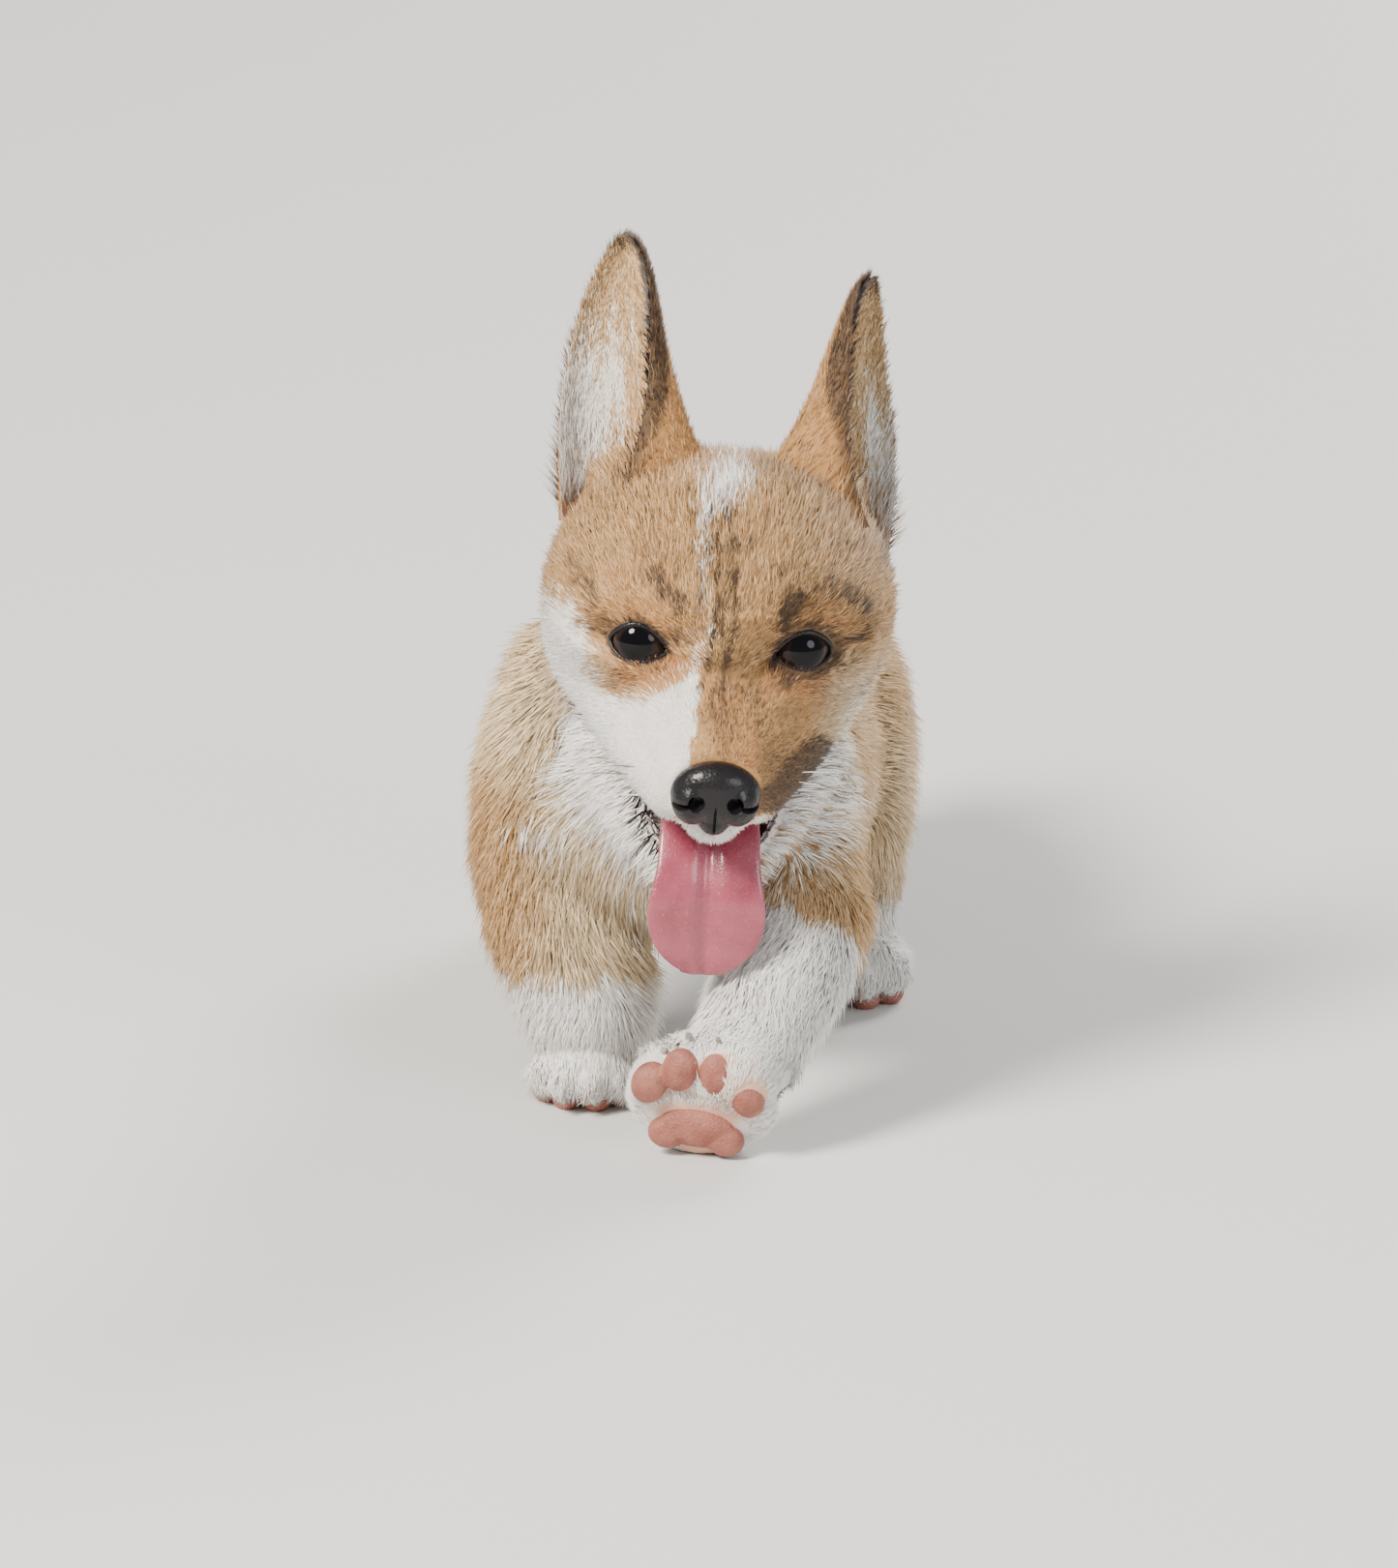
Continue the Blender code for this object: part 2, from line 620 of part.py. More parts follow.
def ear(side, base, length, half, lean, back, opening, curl, bow, wider):
    """A cupped ear: an arc that narrows to a rounded tip, with an outer and an inner wall.

    At height t the wall is an arc of a flattened circle round the ear's line, and the arc opens from the
    root to the tip. Towards the root its front edge curls on round, so that the back of the ear bulges past
    it. The ear leans outward, is laid back, and is turned so that its cup faces outward. Its root flares
    towards the middle of the skull.
    """
    rows, columns = 12, 10
    t = np.sin(np.linspace(0, 0.5, rows) * math.pi)[:, None]
    across = np.linspace(-1, 1, columns)[None, :]
    medial, lateral = np.clip(-side * across, 0, 1), np.clip(side * across, 0, 1)
    width = np.maximum(half * (1 - t**2.6) ** 0.56, 1.8) * (1 + wider * lateral * np.sin(math.pi * t))
    sway = side * bow * np.sin(math.pi * t**1.15)
    spread = math.radians(112) - math.radians(44) * t
    angle = spread * across - side * math.radians(curl) * (1 - t) ** 1.3 * medial**2
    depth = 0.9 * width * (1 - 0.3 * t)
    wall = EAR_WALL * (1 - 0.4 * t)
    turn = turn_y(side * lean) @ turn_x(-back) @ turn_z(side * opening)
    flare = EAR_FLARE * (1 - t) ** 3 * np.clip(-side * np.sin(angle), 0, 1) ** 1.5

    def shell(inset):
        x = (width - inset * 0.5) * np.sin(angle) / np.sin(np.minimum(spread, math.pi / 2)) + sway
        y = (depth - inset) * np.cos(angle) - 0.25 * depth - 5.0 * t**2
        z = np.broadcast_to(t * length - inset * 0.4 * t - 14.0 * (1 - t) ** 2, x.shape)
        return np.stack([x, y, z], -1) @ turn.T + flare[..., None] * np.array([-side, 0.3, -0.35])

    outer, inner = shell(0.0), shell(wall)
    points = np.vstack([outer.reshape(-1, 3), inner.reshape(-1, 3)])
    offset = rows * columns
    faces = []
    for i in range(rows - 1):
        for j in range(columns - 1):
            a, b = i * columns + j, i * columns + j + 1
            c, d = a + columns, b + columns
            faces += [(a, b, d), (a, d, c), (offset + a, offset + d, offset + b), (offset + a, offset + c, offset + d)]
    for i in range(rows - 1):
        for j in (0, columns - 1):
            a, c = i * columns + j, (i + 1) * columns + j
            faces += [(a, c, offset + c), (a, offset + c, offset + a)]
    for i in (0, rows - 1):
        for j in range(columns - 1):
            a, b = i * columns + j, i * columns + j + 1
            faces += [(a, offset + a, offset + b), (a, offset + b, b)]
    return mesh_object("ear", points + np.array(base), faces, HEAD)


def ears(head_shape):
    right = ear(-1, (-27.6, 45, 22), EAR_LENGTH + 1.6, 17.6, -0.6, 35.0, 46.0, 54.0, 3.6, 0.14)
    left = ear(1, (32.0, 45, 20), EAR_LENGTH - 1.8, 18.4, 5.2, 58.0, 62.0, 46.0, 4.2, 0.24)
    return {"right": trimmed(right, head_shape), "left": trimmed(left, head_shape)}


def paw(name, place, spread, triangles):
    """A paw with four toes, five pads and claws. Its sole is z = 0 and its toes point to -y."""
    toes = ((-11.4, -4.0, -16), (-4.4, -9.5, -5), (4.4, -9.5, 5), (11.4, -4.0, 16))
    pieces = [
        ellipsoid(name, (0, 3, 11.5), (PAW_HALF_WIDTH * spread, 16, 9), place),
        ellipsoid(name, (0, 10, 12.5), (14.5, 13, 10.5), place),
        ellipsoid(name, (0, -6, 10.5), (14.5 * spread, 12, 7.8), place),
    ]
    for x, y, yaw in toes:
        x = x * spread
        turn = turn_z(-yaw * spread)
        forward = turn @ np.array([0, -1, 0])
        pieces.append(ellipsoid(name, (x, y, 9.6), (6.2, 11.0, 7.4), place, turn))
        pad = np.array([x, y, 4.0]) + forward * 1.6
        pieces.append(ellipsoid(name, pad, (5.0, 6.4, 4.4), place, turn))
        root = np.array([x, y, 9.5]) + forward * 9.0
        tip = root + forward * CLAW_REACH + (0, 0, -2.2)
        pieces.append(tube(name, [(*root, 1.5, 1.9), (*((root + tip) / 2), 1.2, 1.4), (*tip, 0.7, 0.8)], place, 8, 2))
    for x, y, wide, long in ((0, 7.2, 8.6, 6.2), (-6.6, 10.2, 5.6, 4.8), (6.6, 10.2, 5.6, 4.8)):
        pieces.append(ellipsoid(name, (x * spread, y, 4.0), (wide, long, 4.6), place))
    return fused(name, pieces, 1.15, 3, triangles)


PAWS = {
    "right_fore_paw": (Place((-27, 0, -0.8), turn_z(-4)), 1.0, 380),
    "left_fore_paw": (Place((11.5, -57, 15), turn_z(-3) @ turn_y(5) @ turn_x(-76)), 1.2, 560),
    "left_hind_paw": (Place((36, 108, -0.8), turn_z(4)), 0.95, 380),
    "right_hind_paw": (Place((-48, 188, -0.8), turn_z(-4)), 0.95, 380),
}


def paws(limb_pieces):
    """The four paws, flat on the floor, with the limb over each cut clear of it."""
    floor = block("floor", (-300, -300, -60), (300, 400, 0))
    pieces = {}
    for name, (place, spread, triangles) in PAWS.items():
        pieces[name] = boolean(paw(name, place, spread, triangles), floor, "DIFFERENCE")
        trimmed(limb_pieces[LIMB_OVER_PAW[name]], pieces[name])
    discard(floor)
    return pieces


LIMB_OVER_PAW = {
    "right_fore_paw": "right_forearm",
    "left_fore_paw": "left_forearm",
    "left_hind_paw": "left_shank",
    "right_hind_paw": "right_shank",
}


# Each limb's lower length comes first, so that what is left of the body stays one piece
LIMBS = {
    "right_forearm": RIGHT_FOREARM_ROWS,
    "right_upper_arm": RIGHT_UPPER_ARM_ROWS,
    "left_forearm": LEFT_FOREARM_ROWS,
    "left_upper_arm": LEFT_UPPER_ARM_ROWS,
    "left_shank": LEFT_SHANK_ROWS,
    "left_thigh": LEFT_THIGH_ROWS,
    "right_shank": RIGHT_SHANK_ROWS,
    "right_thigh": RIGHT_THIGH_ROWS,
}


def body_form():
    """Trunk, neck and limbs as one smooth form."""
    pieces = [
        tube("barrel", BARREL_ROWS, WORLD, 32, 4, 0.6, power=2.2),
        tube("back", BACK_ROWS, WORLD, 28, 4, 0.6),
        tube("neck", NECK_ROWS, WORLD, 24, 4, 0.5),
    ]
    for name, rows in LIMBS.items():
        pieces.append(tube(name, rows, WORLD, 20, 4, 0.8))
    return fused("body", pieces, 3.0, 6, 1700)


# Locks of the longer coat: a point near the root, the way it lies and its length. The cheeks' are in the head's
# frame, for the left side, and the others in the body's.
CHEEK_LOCKS = (
    ((45, 24, -12), (0.10, 0.85, -0.50), 18), ((43, 28, -26), (0.05, 0.80, -0.60), 17),
    ((47, 34, 0), (0.10, 0.95, -0.30), 16), ((50, 16, -4), (0.15, 0.85, -0.45), 16),
)
BODY_LOCKS = {
    "torso": (
        ((-27, -14, 94), (0, -0.05, -1), 21), ((-16, -15, 95), (0, -0.05, -1), 22), ((-5, -14, 94), (0, -0.05, -1), 21),
        ((-21, -14, 77), (0, 0.1, -1), 20), ((-10, -14, 77), (0, 0.1, -1), 20),
        ((-16, 224, 96), (0, 0.3, -1), 21), ((-6, 222, 88), (0.1, 0.3, -1), 19), ((-26, 222, 88), (-0.1, 0.3, -1), 19),
    ),
    "left_forearm": (((38, -8, 42), (-0.2, -0.5, -0.85), 16), ((46, -18, 46), (-0.2, -0.6, -0.75), 15)),
    "right_thigh": (((-50, 190, 74), (0, 0.3, -1), 18),),
}


def widened(rows, extra):
    return [(x, y, z, wide + extra, deep + extra) for x, y, z, wide, deep in rows]


def body_nodes():
    """Parts the body into forearms, upper arms, shanks, thighs, neck and torso."""
    body = body_form()
    nodes = {}
    for name, rows in LIMBS.items():
        zone = tube(name + "_zone", widened(rows, 3.5), WORLD, 10, 1, 0.4)
        nodes[name] = taken(body, zone, name)
    neck_zone = tube("neck_zone", widened(NECK_ROWS[1:], 18), WORLD, 16, 1, 0.3)
    nodes["neck"] = taken(body, neck_zone, "neck")
    nodes["torso"] = body
    for name, locks in BODY_LOCKS.items():
        with_locks(nodes[name], WORLD, locks)
    return nodes


def build():
    for item in list(bpy.data.objects):
        bpy.data.objects.remove(item)
    bpy.context.scene.collection.children.link(bpy.data.collections.new(COLLECTION))

    tan = material("tan_coat", TAN, 0.9)
    white = material("white_coat", WHITE, 0.9)
    cream = material("cream_coat", CREAM, 0.9)
    pink = material("tongue_skin", PINK, 0.35)
    leather = material("nose_leather", BLACK, 0.3)
    eye_finish = material("eye_cornea", BLACK, 0.05)

    nodes = body_nodes()
    eye_pieces = eyes()
    nose_piece = nose()
    head_shape = skull_and_face()
    head = head_and_face(head_shape, eye_pieces, nose_piece)
    open_nostrils(nose_piece)
    tongue_piece = tongue()
    trimmed(head, tongue_piece)
    jaw_piece = trimmed(jaw(), tongue_piece)
    for name in ("neck", "torso", "left_upper_arm", "right_upper_arm"):
        trimmed(nodes[name], head_shape, jaw_piece)
    trimmed(nodes["left_forearm"], tongue_piece)
    ear_pieces = ears(head_shape)
    discard(head_shape)
    paw_pieces = paws(nodes)
    tail = trimmed(tube("tail", TAIL_ROWS, WORLD, 14, 2, 0.8), nodes["torso"])

    finished(head, "head", tan)
    finished(jaw_piece, "jaw", white)
    finished(tongue_piece, "tongue", pink)
    finished(nose_piece, "nose", leather)
    for word in ("left", "right"):
        finished(eye_pieces[word], "eye_" + word, eye_finish)
        finished(ear_pieces[word], "ear_" + word, tan)
    for name, piece in paw_pieces.items():
        finished(piece, name, white)
    for name, piece in nodes.items():
        finish = white if "forearm" in name or "shank" in name else cream if name == "neck" else tan
        finished(piece, name, finish)
    finished(tail, "tail", tan)


build()
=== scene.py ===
"""A Pembroke Welsh Corgi puppy at a run: skin, coat, eyes, nose, mouth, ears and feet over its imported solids.

The puppy faces -Y, its left side is +X and up is +Z. Sizes are millimetres until a mesh is made, then metres.
"""

import math

import bmesh
import bpy
import numpy as np
from mathutils import Matrix


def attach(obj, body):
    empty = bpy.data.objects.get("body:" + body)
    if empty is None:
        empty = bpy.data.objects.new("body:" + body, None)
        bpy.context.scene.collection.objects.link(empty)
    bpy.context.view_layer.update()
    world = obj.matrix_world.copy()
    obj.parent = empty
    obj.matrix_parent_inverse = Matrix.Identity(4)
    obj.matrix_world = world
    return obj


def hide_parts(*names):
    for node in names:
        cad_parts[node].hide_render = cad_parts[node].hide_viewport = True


bl_info = {
    "name": "Pembroke Welsh Corgi Puppy",
    "version": (1, 0, 0),
    "blender": (4, 5, 0),
    "location": "View3D > Sidebar > Corgi",
    "description": "Builds the skin, coat, eyes, nose, mouth, ears and feet of a running corgi puppy",
    "category": "Object",
}

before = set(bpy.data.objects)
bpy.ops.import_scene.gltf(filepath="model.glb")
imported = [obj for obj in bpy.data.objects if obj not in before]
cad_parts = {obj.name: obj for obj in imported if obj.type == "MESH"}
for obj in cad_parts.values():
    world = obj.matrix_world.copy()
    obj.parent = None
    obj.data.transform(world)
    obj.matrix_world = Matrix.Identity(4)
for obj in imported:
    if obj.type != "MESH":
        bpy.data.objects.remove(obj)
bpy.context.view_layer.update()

MM = 0.001

# Moves the forms so that the middle of the footprint is the origin
FRAME_SHIFT = np.array([3.0, -86.6, 0.0])


# Turns and places


def turn_x(degrees):
    c, s = math.cos(math.radians(degrees)), math.sin(math.radians(degrees))
    return np.array([[1, 0, 0], [0, c, -s], [0, s, c]])


def turn_y(degrees):
    c, s = math.cos(math.radians(degrees)), math.sin(math.radians(degrees))
    return np.array([[c, 0, s], [0, 1, 0], [-s, 0, c]])


def turn_z(degrees):
    c, s = math.cos(math.radians(degrees)), math.sin(math.radians(degrees))
    return np.array([[c, -s, 0], [s, c, 0], [0, 0, 1]])


class Place:
    """A turned and moved frame, whose points are given in the local millimetres of one body part."""

    def __init__(self, centre=(0, 0, 0), turn=None):
        self.centre = np.array(centre, float)
        self.turn = np.eye(3) if turn is None else turn

    def at(self, points):
        return np.asarray(points, float) @ self.turn.T + self.centre

    def local(self, points):
        return (np.asarray(points, float) - self.centre) @ self.turn

    def way(self, directions):
        return np.asarray(directions, float) @ self.turn.T


WORLD = Place()
HEAD = Place((15.0, -30.0, 145.5), turn_z(8.0) @ turn_x(24.0) @ turn_y(3.4))


def unit(rows):
    return rows / np.maximum(np.linalg.norm(rows, axis=-1, keepdims=True), 1e-9)


def smooth_step(low, high, value):
    t = np.clip((value - low) / (high - low), 0, 1)
    return t * t * (3 - 2 * t)


def wave(points, size, seed):
    """A smooth uneven value from -1 to 1: five sine waves of about one size in random directions."""
    chance = np.random.default_rng(seed)
    total = np.zeros(len(points))
    for _ in range(5):
        way = unit(chance.normal(size=3)) * 2 * np.pi / (size * chance.uniform(0.7, 1.5))
        total += np.sin(points @ way + chance.uniform(0, 2 * np.pi))
    return total / 3


# Settings that a user would change


class FormSettings(bpy.types.PropertyGroup):
    skin_voxel: bpy.props.FloatProperty(
        name="Skin detail", description="Size of the skin's faces, in millimetres", default=1.45, min=1.0, max=4.0)
    eye_radius: bpy.props.FloatProperty(
        name="Eye radius", description="Radius of each eyeball", default=0.0092, unit="LENGTH")
    ear_length: bpy.props.FloatProperty(
        name="Ear length", description="From the ear's root to its tip", default=0.066, unit="LENGTH")


class CoatSettings(bpy.types.PropertyGroup):
    body_tufts: bpy.props.IntProperty(
        name="Body tufts", description="Tufts on the neck, trunk, tail and legs", default=138000, min=1000)
    face_tufts: bpy.props.IntProperty(
        name="Face tufts", description="Short tufts on the head", default=84000, min=1000)
    ear_tufts: bpy.props.IntProperty(
        name="Ear tufts", description="Short tufts on the back of each ear", default=9000, min=500)
    width: bpy.props.FloatProperty(
        name="Tuft width", description="Width of a long tuft where it is widest", default=0.0006, unit="LENGTH")
    length: bpy.props.FloatProperty(
        name="Length", description="Share of the puppy's own coat length", default=1.0, min=0.3, max=2.0)
    clumping: bpy.props.FloatProperty(
        name="Clumping", description="How far tips draw together into locks", default=0.34, min=0.0, max=1.0)


class ColourSettings(bpy.types.PropertyGroup):
    tan: bpy.props.FloatVectorProperty(
        name="Tan", description="Hair of the back and face", subtype="COLOR", size=3, default=(0.50, 0.280, 0.100))
    rufous: bpy.props.FloatVectorProperty(
        name="Rufous", description="Hair round the eyes", subtype="COLOR", size=3, default=(0.45, 0.175, 0.045))
    cream: bpy.props.FloatVectorProperty(
        name="Cream", description="Hair of the sides and breeches", subtype="COLOR", size=3,
        default=(0.78, 0.60, 0.37))
    white: bpy.props.FloatVectorProperty(
        name="White", description="Hair of the chest and feet", subtype="COLOR", size=3,
        default=(0.90, 0.87, 0.82))
    # Sable also colours the painted shade on the puppy's left side of the head.
    sable: bpy.props.FloatVectorProperty(
        name="Sable", description="Dark tips and marks", subtype="COLOR", size=3, default=(0.034, 0.020, 0.014))
    flesh: bpy.props.FloatVectorProperty(
        name="Flesh", description="Bare pink skin", subtype="COLOR", size=3, default=(0.62, 0.30, 0.26))
    tongue: bpy.props.FloatVectorProperty(
        name="Tongue", description="Wet tongue", subtype="COLOR", size=3, default=(0.37, 0.070, 0.105))
    pads: bpy.props.FloatVectorProperty(
        name="Pads", description="Soles of the feet", subtype="COLOR", size=3, default=(0.27, 0.078, 0.052))
    black: bpy.props.FloatVectorProperty(
        name="Black", description="Nose, lips and rims of the eyes", subtype="COLOR", size=3,
        default=(0.006, 0.005, 0.006))
    iris: bpy.props.FloatVectorProperty(
        name="Iris", description="Brown of the eye", subtype="COLOR", size=3, default=(0.009, 0.004, 0.003))


class StudioSettings(bpy.types.PropertyGroup):
    turn: bpy.props.FloatProperty(
        name="Turn", description="How far the camera stands to the puppy's left", subtype="ANGLE",
        default=math.radians(8))
    rise: bpy.props.FloatProperty(
        name="Rise", description="How far the camera looks down", subtype="ANGLE", default=math.radians(16))
    distance: bpy.props.FloatProperty(
        name="Distance", description="From the camera to the puppy", unit="LENGTH", default=3.0)
    lens: bpy.props.FloatProperty(
        name="Lens", description="Focal length in millimetres", default=239.85)
    floor: bpy.props.FloatVectorProperty(
        name="Floor", description="Colour of the floor", subtype="COLOR", size=3, default=(0.72, 0.71, 0.69))
    key: bpy.props.FloatProperty(
        name="Key light", description="Power of the key light in watts", default=225.0)


# The body's lines: rows of x, y, z, half-width and half-depth out to the tips of the coat
BARREL_ROWS = (
    (-8, 14, 80, 38, 30), (-8, 30, 80, 50, 41), (-8, 56, 78, 54, 43), (-9, 92, 76, 54, 41),
    (-11, 130, 80, 51, 38), (-13, 164, 86, 48, 37), (-16, 194, 90, 42, 34), (-17, 210, 92, 32, 26),
)
BACK_ROWS = (
    (-6, 34, 112, 40, 38), (-8, 64, 108, 40, 40), (-9, 96, 104, 37, 38), (-11, 130, 103, 36, 36),
    (-13, 164, 104, 36, 33), (-15, 192, 100, 32, 30),
)
NECK_ROWS = ((-6, 44, 112, 44, 42), (4, 24, 132, 42, 38), (10, 8, 148, 36, 32), (13, -4, 156, 28, 26))
TAIL_ROWS = ((-15, 206, 112, 14, 13), (-16, 222, 114, 12, 11), (-16, 232, 112, 9, 9))
LIMB_ROWS = (
    ((-34, 48, 112, 23, 32), (-41, 38, 90, 24, 31), (-43, 28, 66, 23, 27), (-41, 22, 50, 21, 22)),
    ((-39, 20, 54, 24, 22), (-32, 11, 38, 23, 20), (-28, 5, 25, 21, 18), (-27, 3, 16, 17.5, 15)),
    ((14, 44, 112, 23, 32), (22, 28, 90, 24, 31), (29, 10, 72, 22, 26), (33, -4, 60, 20, 21)),
    ((35, -3, 61, 21, 20), (32, -19, 48, 21, 18.5), (26.5, -36, 34.5, 18.5, 15), (20, -49, 25, 16, 13)),
    ((6, 174, 88, 26, 36), (20, 152, 79, 26, 34), (30, 124, 66, 22, 28), (34, 106, 53, 19, 22)),
    ((34, 108, 53, 17, 19), (36, 121, 38, 14, 15), (36, 126, 25, 12, 12), (36, 119, 16, 11, 11)),
    ((-34, 180, 92, 26, 34), (-43, 170, 78, 23, 32), (-49, 156, 62, 19, 26), (-50, 149, 52, 17, 20)),
    ((-50, 151, 52, 16, 18), (-50, 172, 42, 13, 14), (-49, 190, 31, 11, 12), (-48, 194, 17, 11, 11)),
)

# The head's lines, from the point midway between the eyes, with y to the back
HEAD_ROWS = (
    (0, 58, -6, 34, 24), (0, 45, -5, 46, 38), (0, 28, -6, 51, 44), (0, 12, -8, 48, 40), (0, 0, -14, 40, 31),
    (0, -8, -18, 28.5, 22), (0, -16, -20, 24, 16.5), (0, -26, -22.5, 19.5, 13.5), (0, -36, -24.5, 16, 12),
    (0, -41, -25.5, 13.5, 11),
)
LIP_ROWS = ((29, 16, -22, 17, 18), (24, -2, -24, 13.5, 14), (17, -17, -27, 12, 11), (9.5, -33, -29, 9.5, 9))
MANDIBLE_ROWS = ((0, 46, -36, 30, 18), (0, 30, -42, 37, 18), (0, 16, -46, 39, 16), (0, 4, -49, 37, 14))
JAW_ROWS = ((0, 16, -46, 39, 16), (0, 4, -49, 37, 14), (0, -8, -53, 30, 11), (0, -20, -57, 22, 8),
            (0, -27, -60, 16, 6.5))
TONGUE_ROWS = (
    (0, 4, -45, 10, 3.2), (0, -12, -46, 13, 3.4), (0, -25, -49.5, 14, 3.2), (0, -34, -55, 14.6, 3.0),
    (0, -39.6, -61, 16.1, 2.8), (0, -41.6, -65, 16.6, 2.7), (0, -43.6, -69, 16.1, 2.6), (0, -45.1, -73, 14.6, 2.4),
    (0, -46.3, -76.5, 12.1, 2.2), (0, -47.1, -79, 9.2, 1.9), (0, -47.5, -80.4, 6.8, 1.7),
)
LIP_LINE_Y = (-60, -42, -34, -20, -8, 8)
LIP_LINE_Z = (-38, -40.6, -41.0, -38.8, -35.0, -30)
JAW_EDGE_Y = (-34, -27, -20, -8, 4, 8)
JAW_EDGE_Z = (-56, -54.0, -49.5, -42.5, -35.5, -33)
MOUTH_CORNER_Y = 8.0

EYE = (22.0, -1.4, 0.4)
EYE_LOOKS_UP = 30.0
EYE_LOOKS_OUT = 15.0

# Half the width and height of the opening between the lids, along the eyeball's surface
FISSURE_HALF_WIDTH = 8.7
FISSURE_HALF_HEIGHT = 5.2
CORNER_DROP = 1.5

NOSE = (0.0, -40.0, -22.5)
NOSE_RADII = (12.8, 7.5, 10.5)

PAWS = (
    ("right_fore", Place((-27, 0, -0.8), turn_z(-4)), 1.0),
    ("left_fore", Place((11.5, -57, 15), turn_z(-3) @ turn_y(5) @ turn_x(-76)), 1.27),
    ("left_hind", Place((36, 108, -0.8), turn_z(4)), 0.95),
    ("right_hind", Place((-48, 188, -0.8), turn_z(-4)), 0.95),
)
TOES = ((-11.4, -4.0, -16), (-4.4, -9.5, -5), (4.4, -9.5, 5), (11.4, -4.0, 16))


# Surfaces as arrays of points and triangles


def eased_rows(rows, per_span):
    """Rows of numbers joined by a Catmull-Rom curve, with per_span samples to a span."""
    rows = np.array(rows, float)
    padded = np.vstack([2 * rows[0] - rows[1], rows, 2 * rows[-1] - rows[-2]])
    t = np.linspace(0, 1, per_span, endpoint=False)[:, None]
    spans = []
    for a, b, c, d in zip(padded, padded[1:], padded[2:], padded[3:]):
        line = 2 * b + (c - a) * t
        bend = (2 * a - 5 * b + 4 * c - d) * t**2 + (3 * b - a - 3 * c + d) * t**3
        spans.append(0.5 * (line + bend))
    return np.vstack(spans + [rows[-1:]])


def grid_triangles(rows, columns, wrapped):
    """Two triangles for each cell of a grid of points laid out row after row."""
    across = columns if wrapped else columns - 1
    i, j = np.meshgrid(np.arange(rows - 1), np.arange(across), indexing="ij")
    k = (j + 1) % columns
    a, b, c, d = i * columns + j, i * columns + k, (i + 1) * columns + k, (i + 1) * columns + j
    return np.stack([a, b, c, a, c, d], -1).reshape(-1, 3)


def closed_rings(rings, first_pole, last_pole):
    """A closed surface from rings of points with a pole beyond the first and the last."""
    count, sides = rings.shape[:2]
    points = np.vstack([rings.reshape(-1, 3), first_pole, last_pole])
    j = np.arange(sides)
    k = (j + 1) % sides
    first = np.stack([np.full(sides, count * sides), k, j], -1)
    end = (count - 1) * sides
    last = np.stack([np.full(sides, count * sides + 1), end + j, end + k], -1)
    return points, np.vstack([grid_triangles(count, sides, True), first, last])


def tube(rows, place=WORLD, sides=32, per_span=6, cap=0.7, across=(1, 0, 0), power=2.0, groove=0.0, cup=0.0):
    """A closed tube along rows of x, y, z, half-width and half-depth.

    Each ring is |x/w|^p + |z/d|^p = 1 across the line, the ends are rounded by quarter ellipses, and a groove
    sinks the middle of one face by a bell curve. A cup bends both
    edges by the square of their distance from the middle.
    """
    samples = eased_rows(rows, per_span)
    centres, radii = samples[:, :3], samples[:, 3:5]
    along = unit(np.gradient(centres, axis=0))
    angles = np.radians([18, 36, 54, 70, 82])[:, None]
    first_depth, last_depth = along[0] * cap * radii[0].mean(), along[-1] * cap * radii[-1].mean()
    poles = (centres[0] - first_depth, centres[-1] + last_depth)
    centres = np.vstack([poles[0] + first_depth * (1 - np.sin(angles[::-1])), centres,
                         poles[1] - last_depth * (1 - np.sin(angles))])
    along = np.vstack([np.repeat(along[:1], 5, 0), along, np.repeat(along[-1:], 5, 0)])
    radii = np.vstack([radii[0] * np.cos(angles[::-1]), radii, radii[-1] * np.cos(angles)])
    side = unit(np.array(across, float) - (along @ np.array(across, float))[:, None] * along)
    lift = np.cross(side, along)
    turn = np.linspace(0, 2 * np.pi, sides, endpoint=False)
    c, s = np.cos(turn), np.sin(turn)
    wide = np.sign(c) * np.abs(c) ** (2 / power)
    high = np.sign(s) * np.abs(s) ** (2 / power)
    high = high + groove * np.exp(-((wide / 0.17) ** 2)) * (s < 0) - cup * wide**2
    rings = (centres[:, None] + side[:, None] * (radii[:, :1] * wide)[..., None]
             + lift[:, None] * (radii[:, 1:] * high)[..., None])
    points, triangles = closed_rings(rings, poles[0], poles[1])
    return place.at(points), triangles


def ball(centre, radii, place=WORLD, turn=None, sides=28, rings=15):
    """An ellipsoid: centre + (rx sin a cos b, ry sin a sin b, rz cos a)."""
    a = np.linspace(0, np.pi, rings + 2)[1:-1, None]
    b = np.linspace(0, 2 * np.pi, sides, endpoint=False)[None]
    shape = np.stack([np.sin(a) * np.cos(b), np.sin(a) * np.sin(b), np.cos(a) + 0 * b], -1)
    points, triangles = closed_rings(shape, [[0, 0, 1]], [[0, 0, -1]])
    points = points * np.array(radii, float)
    if turn is not None:
        points = points @ turn.T
    return place.at(points + np.array(centre, float)), triangles


def prism(profile, half_width, place):
    """A flat outline in y and z carried from -half_width to half_width along x, with fans at both ends."""
    profile = np.array(profile, float)
    rings = np.stack([np.column_stack([np.full(len(profile), x), profile]) for x in (-half_width, half_width)])
    middle = profile.mean(0)
    points, triangles = closed_rings(rings, [[-half_width, *middle]], [[half_width, *middle]])
    return place.at(points), triangles


# Meshes


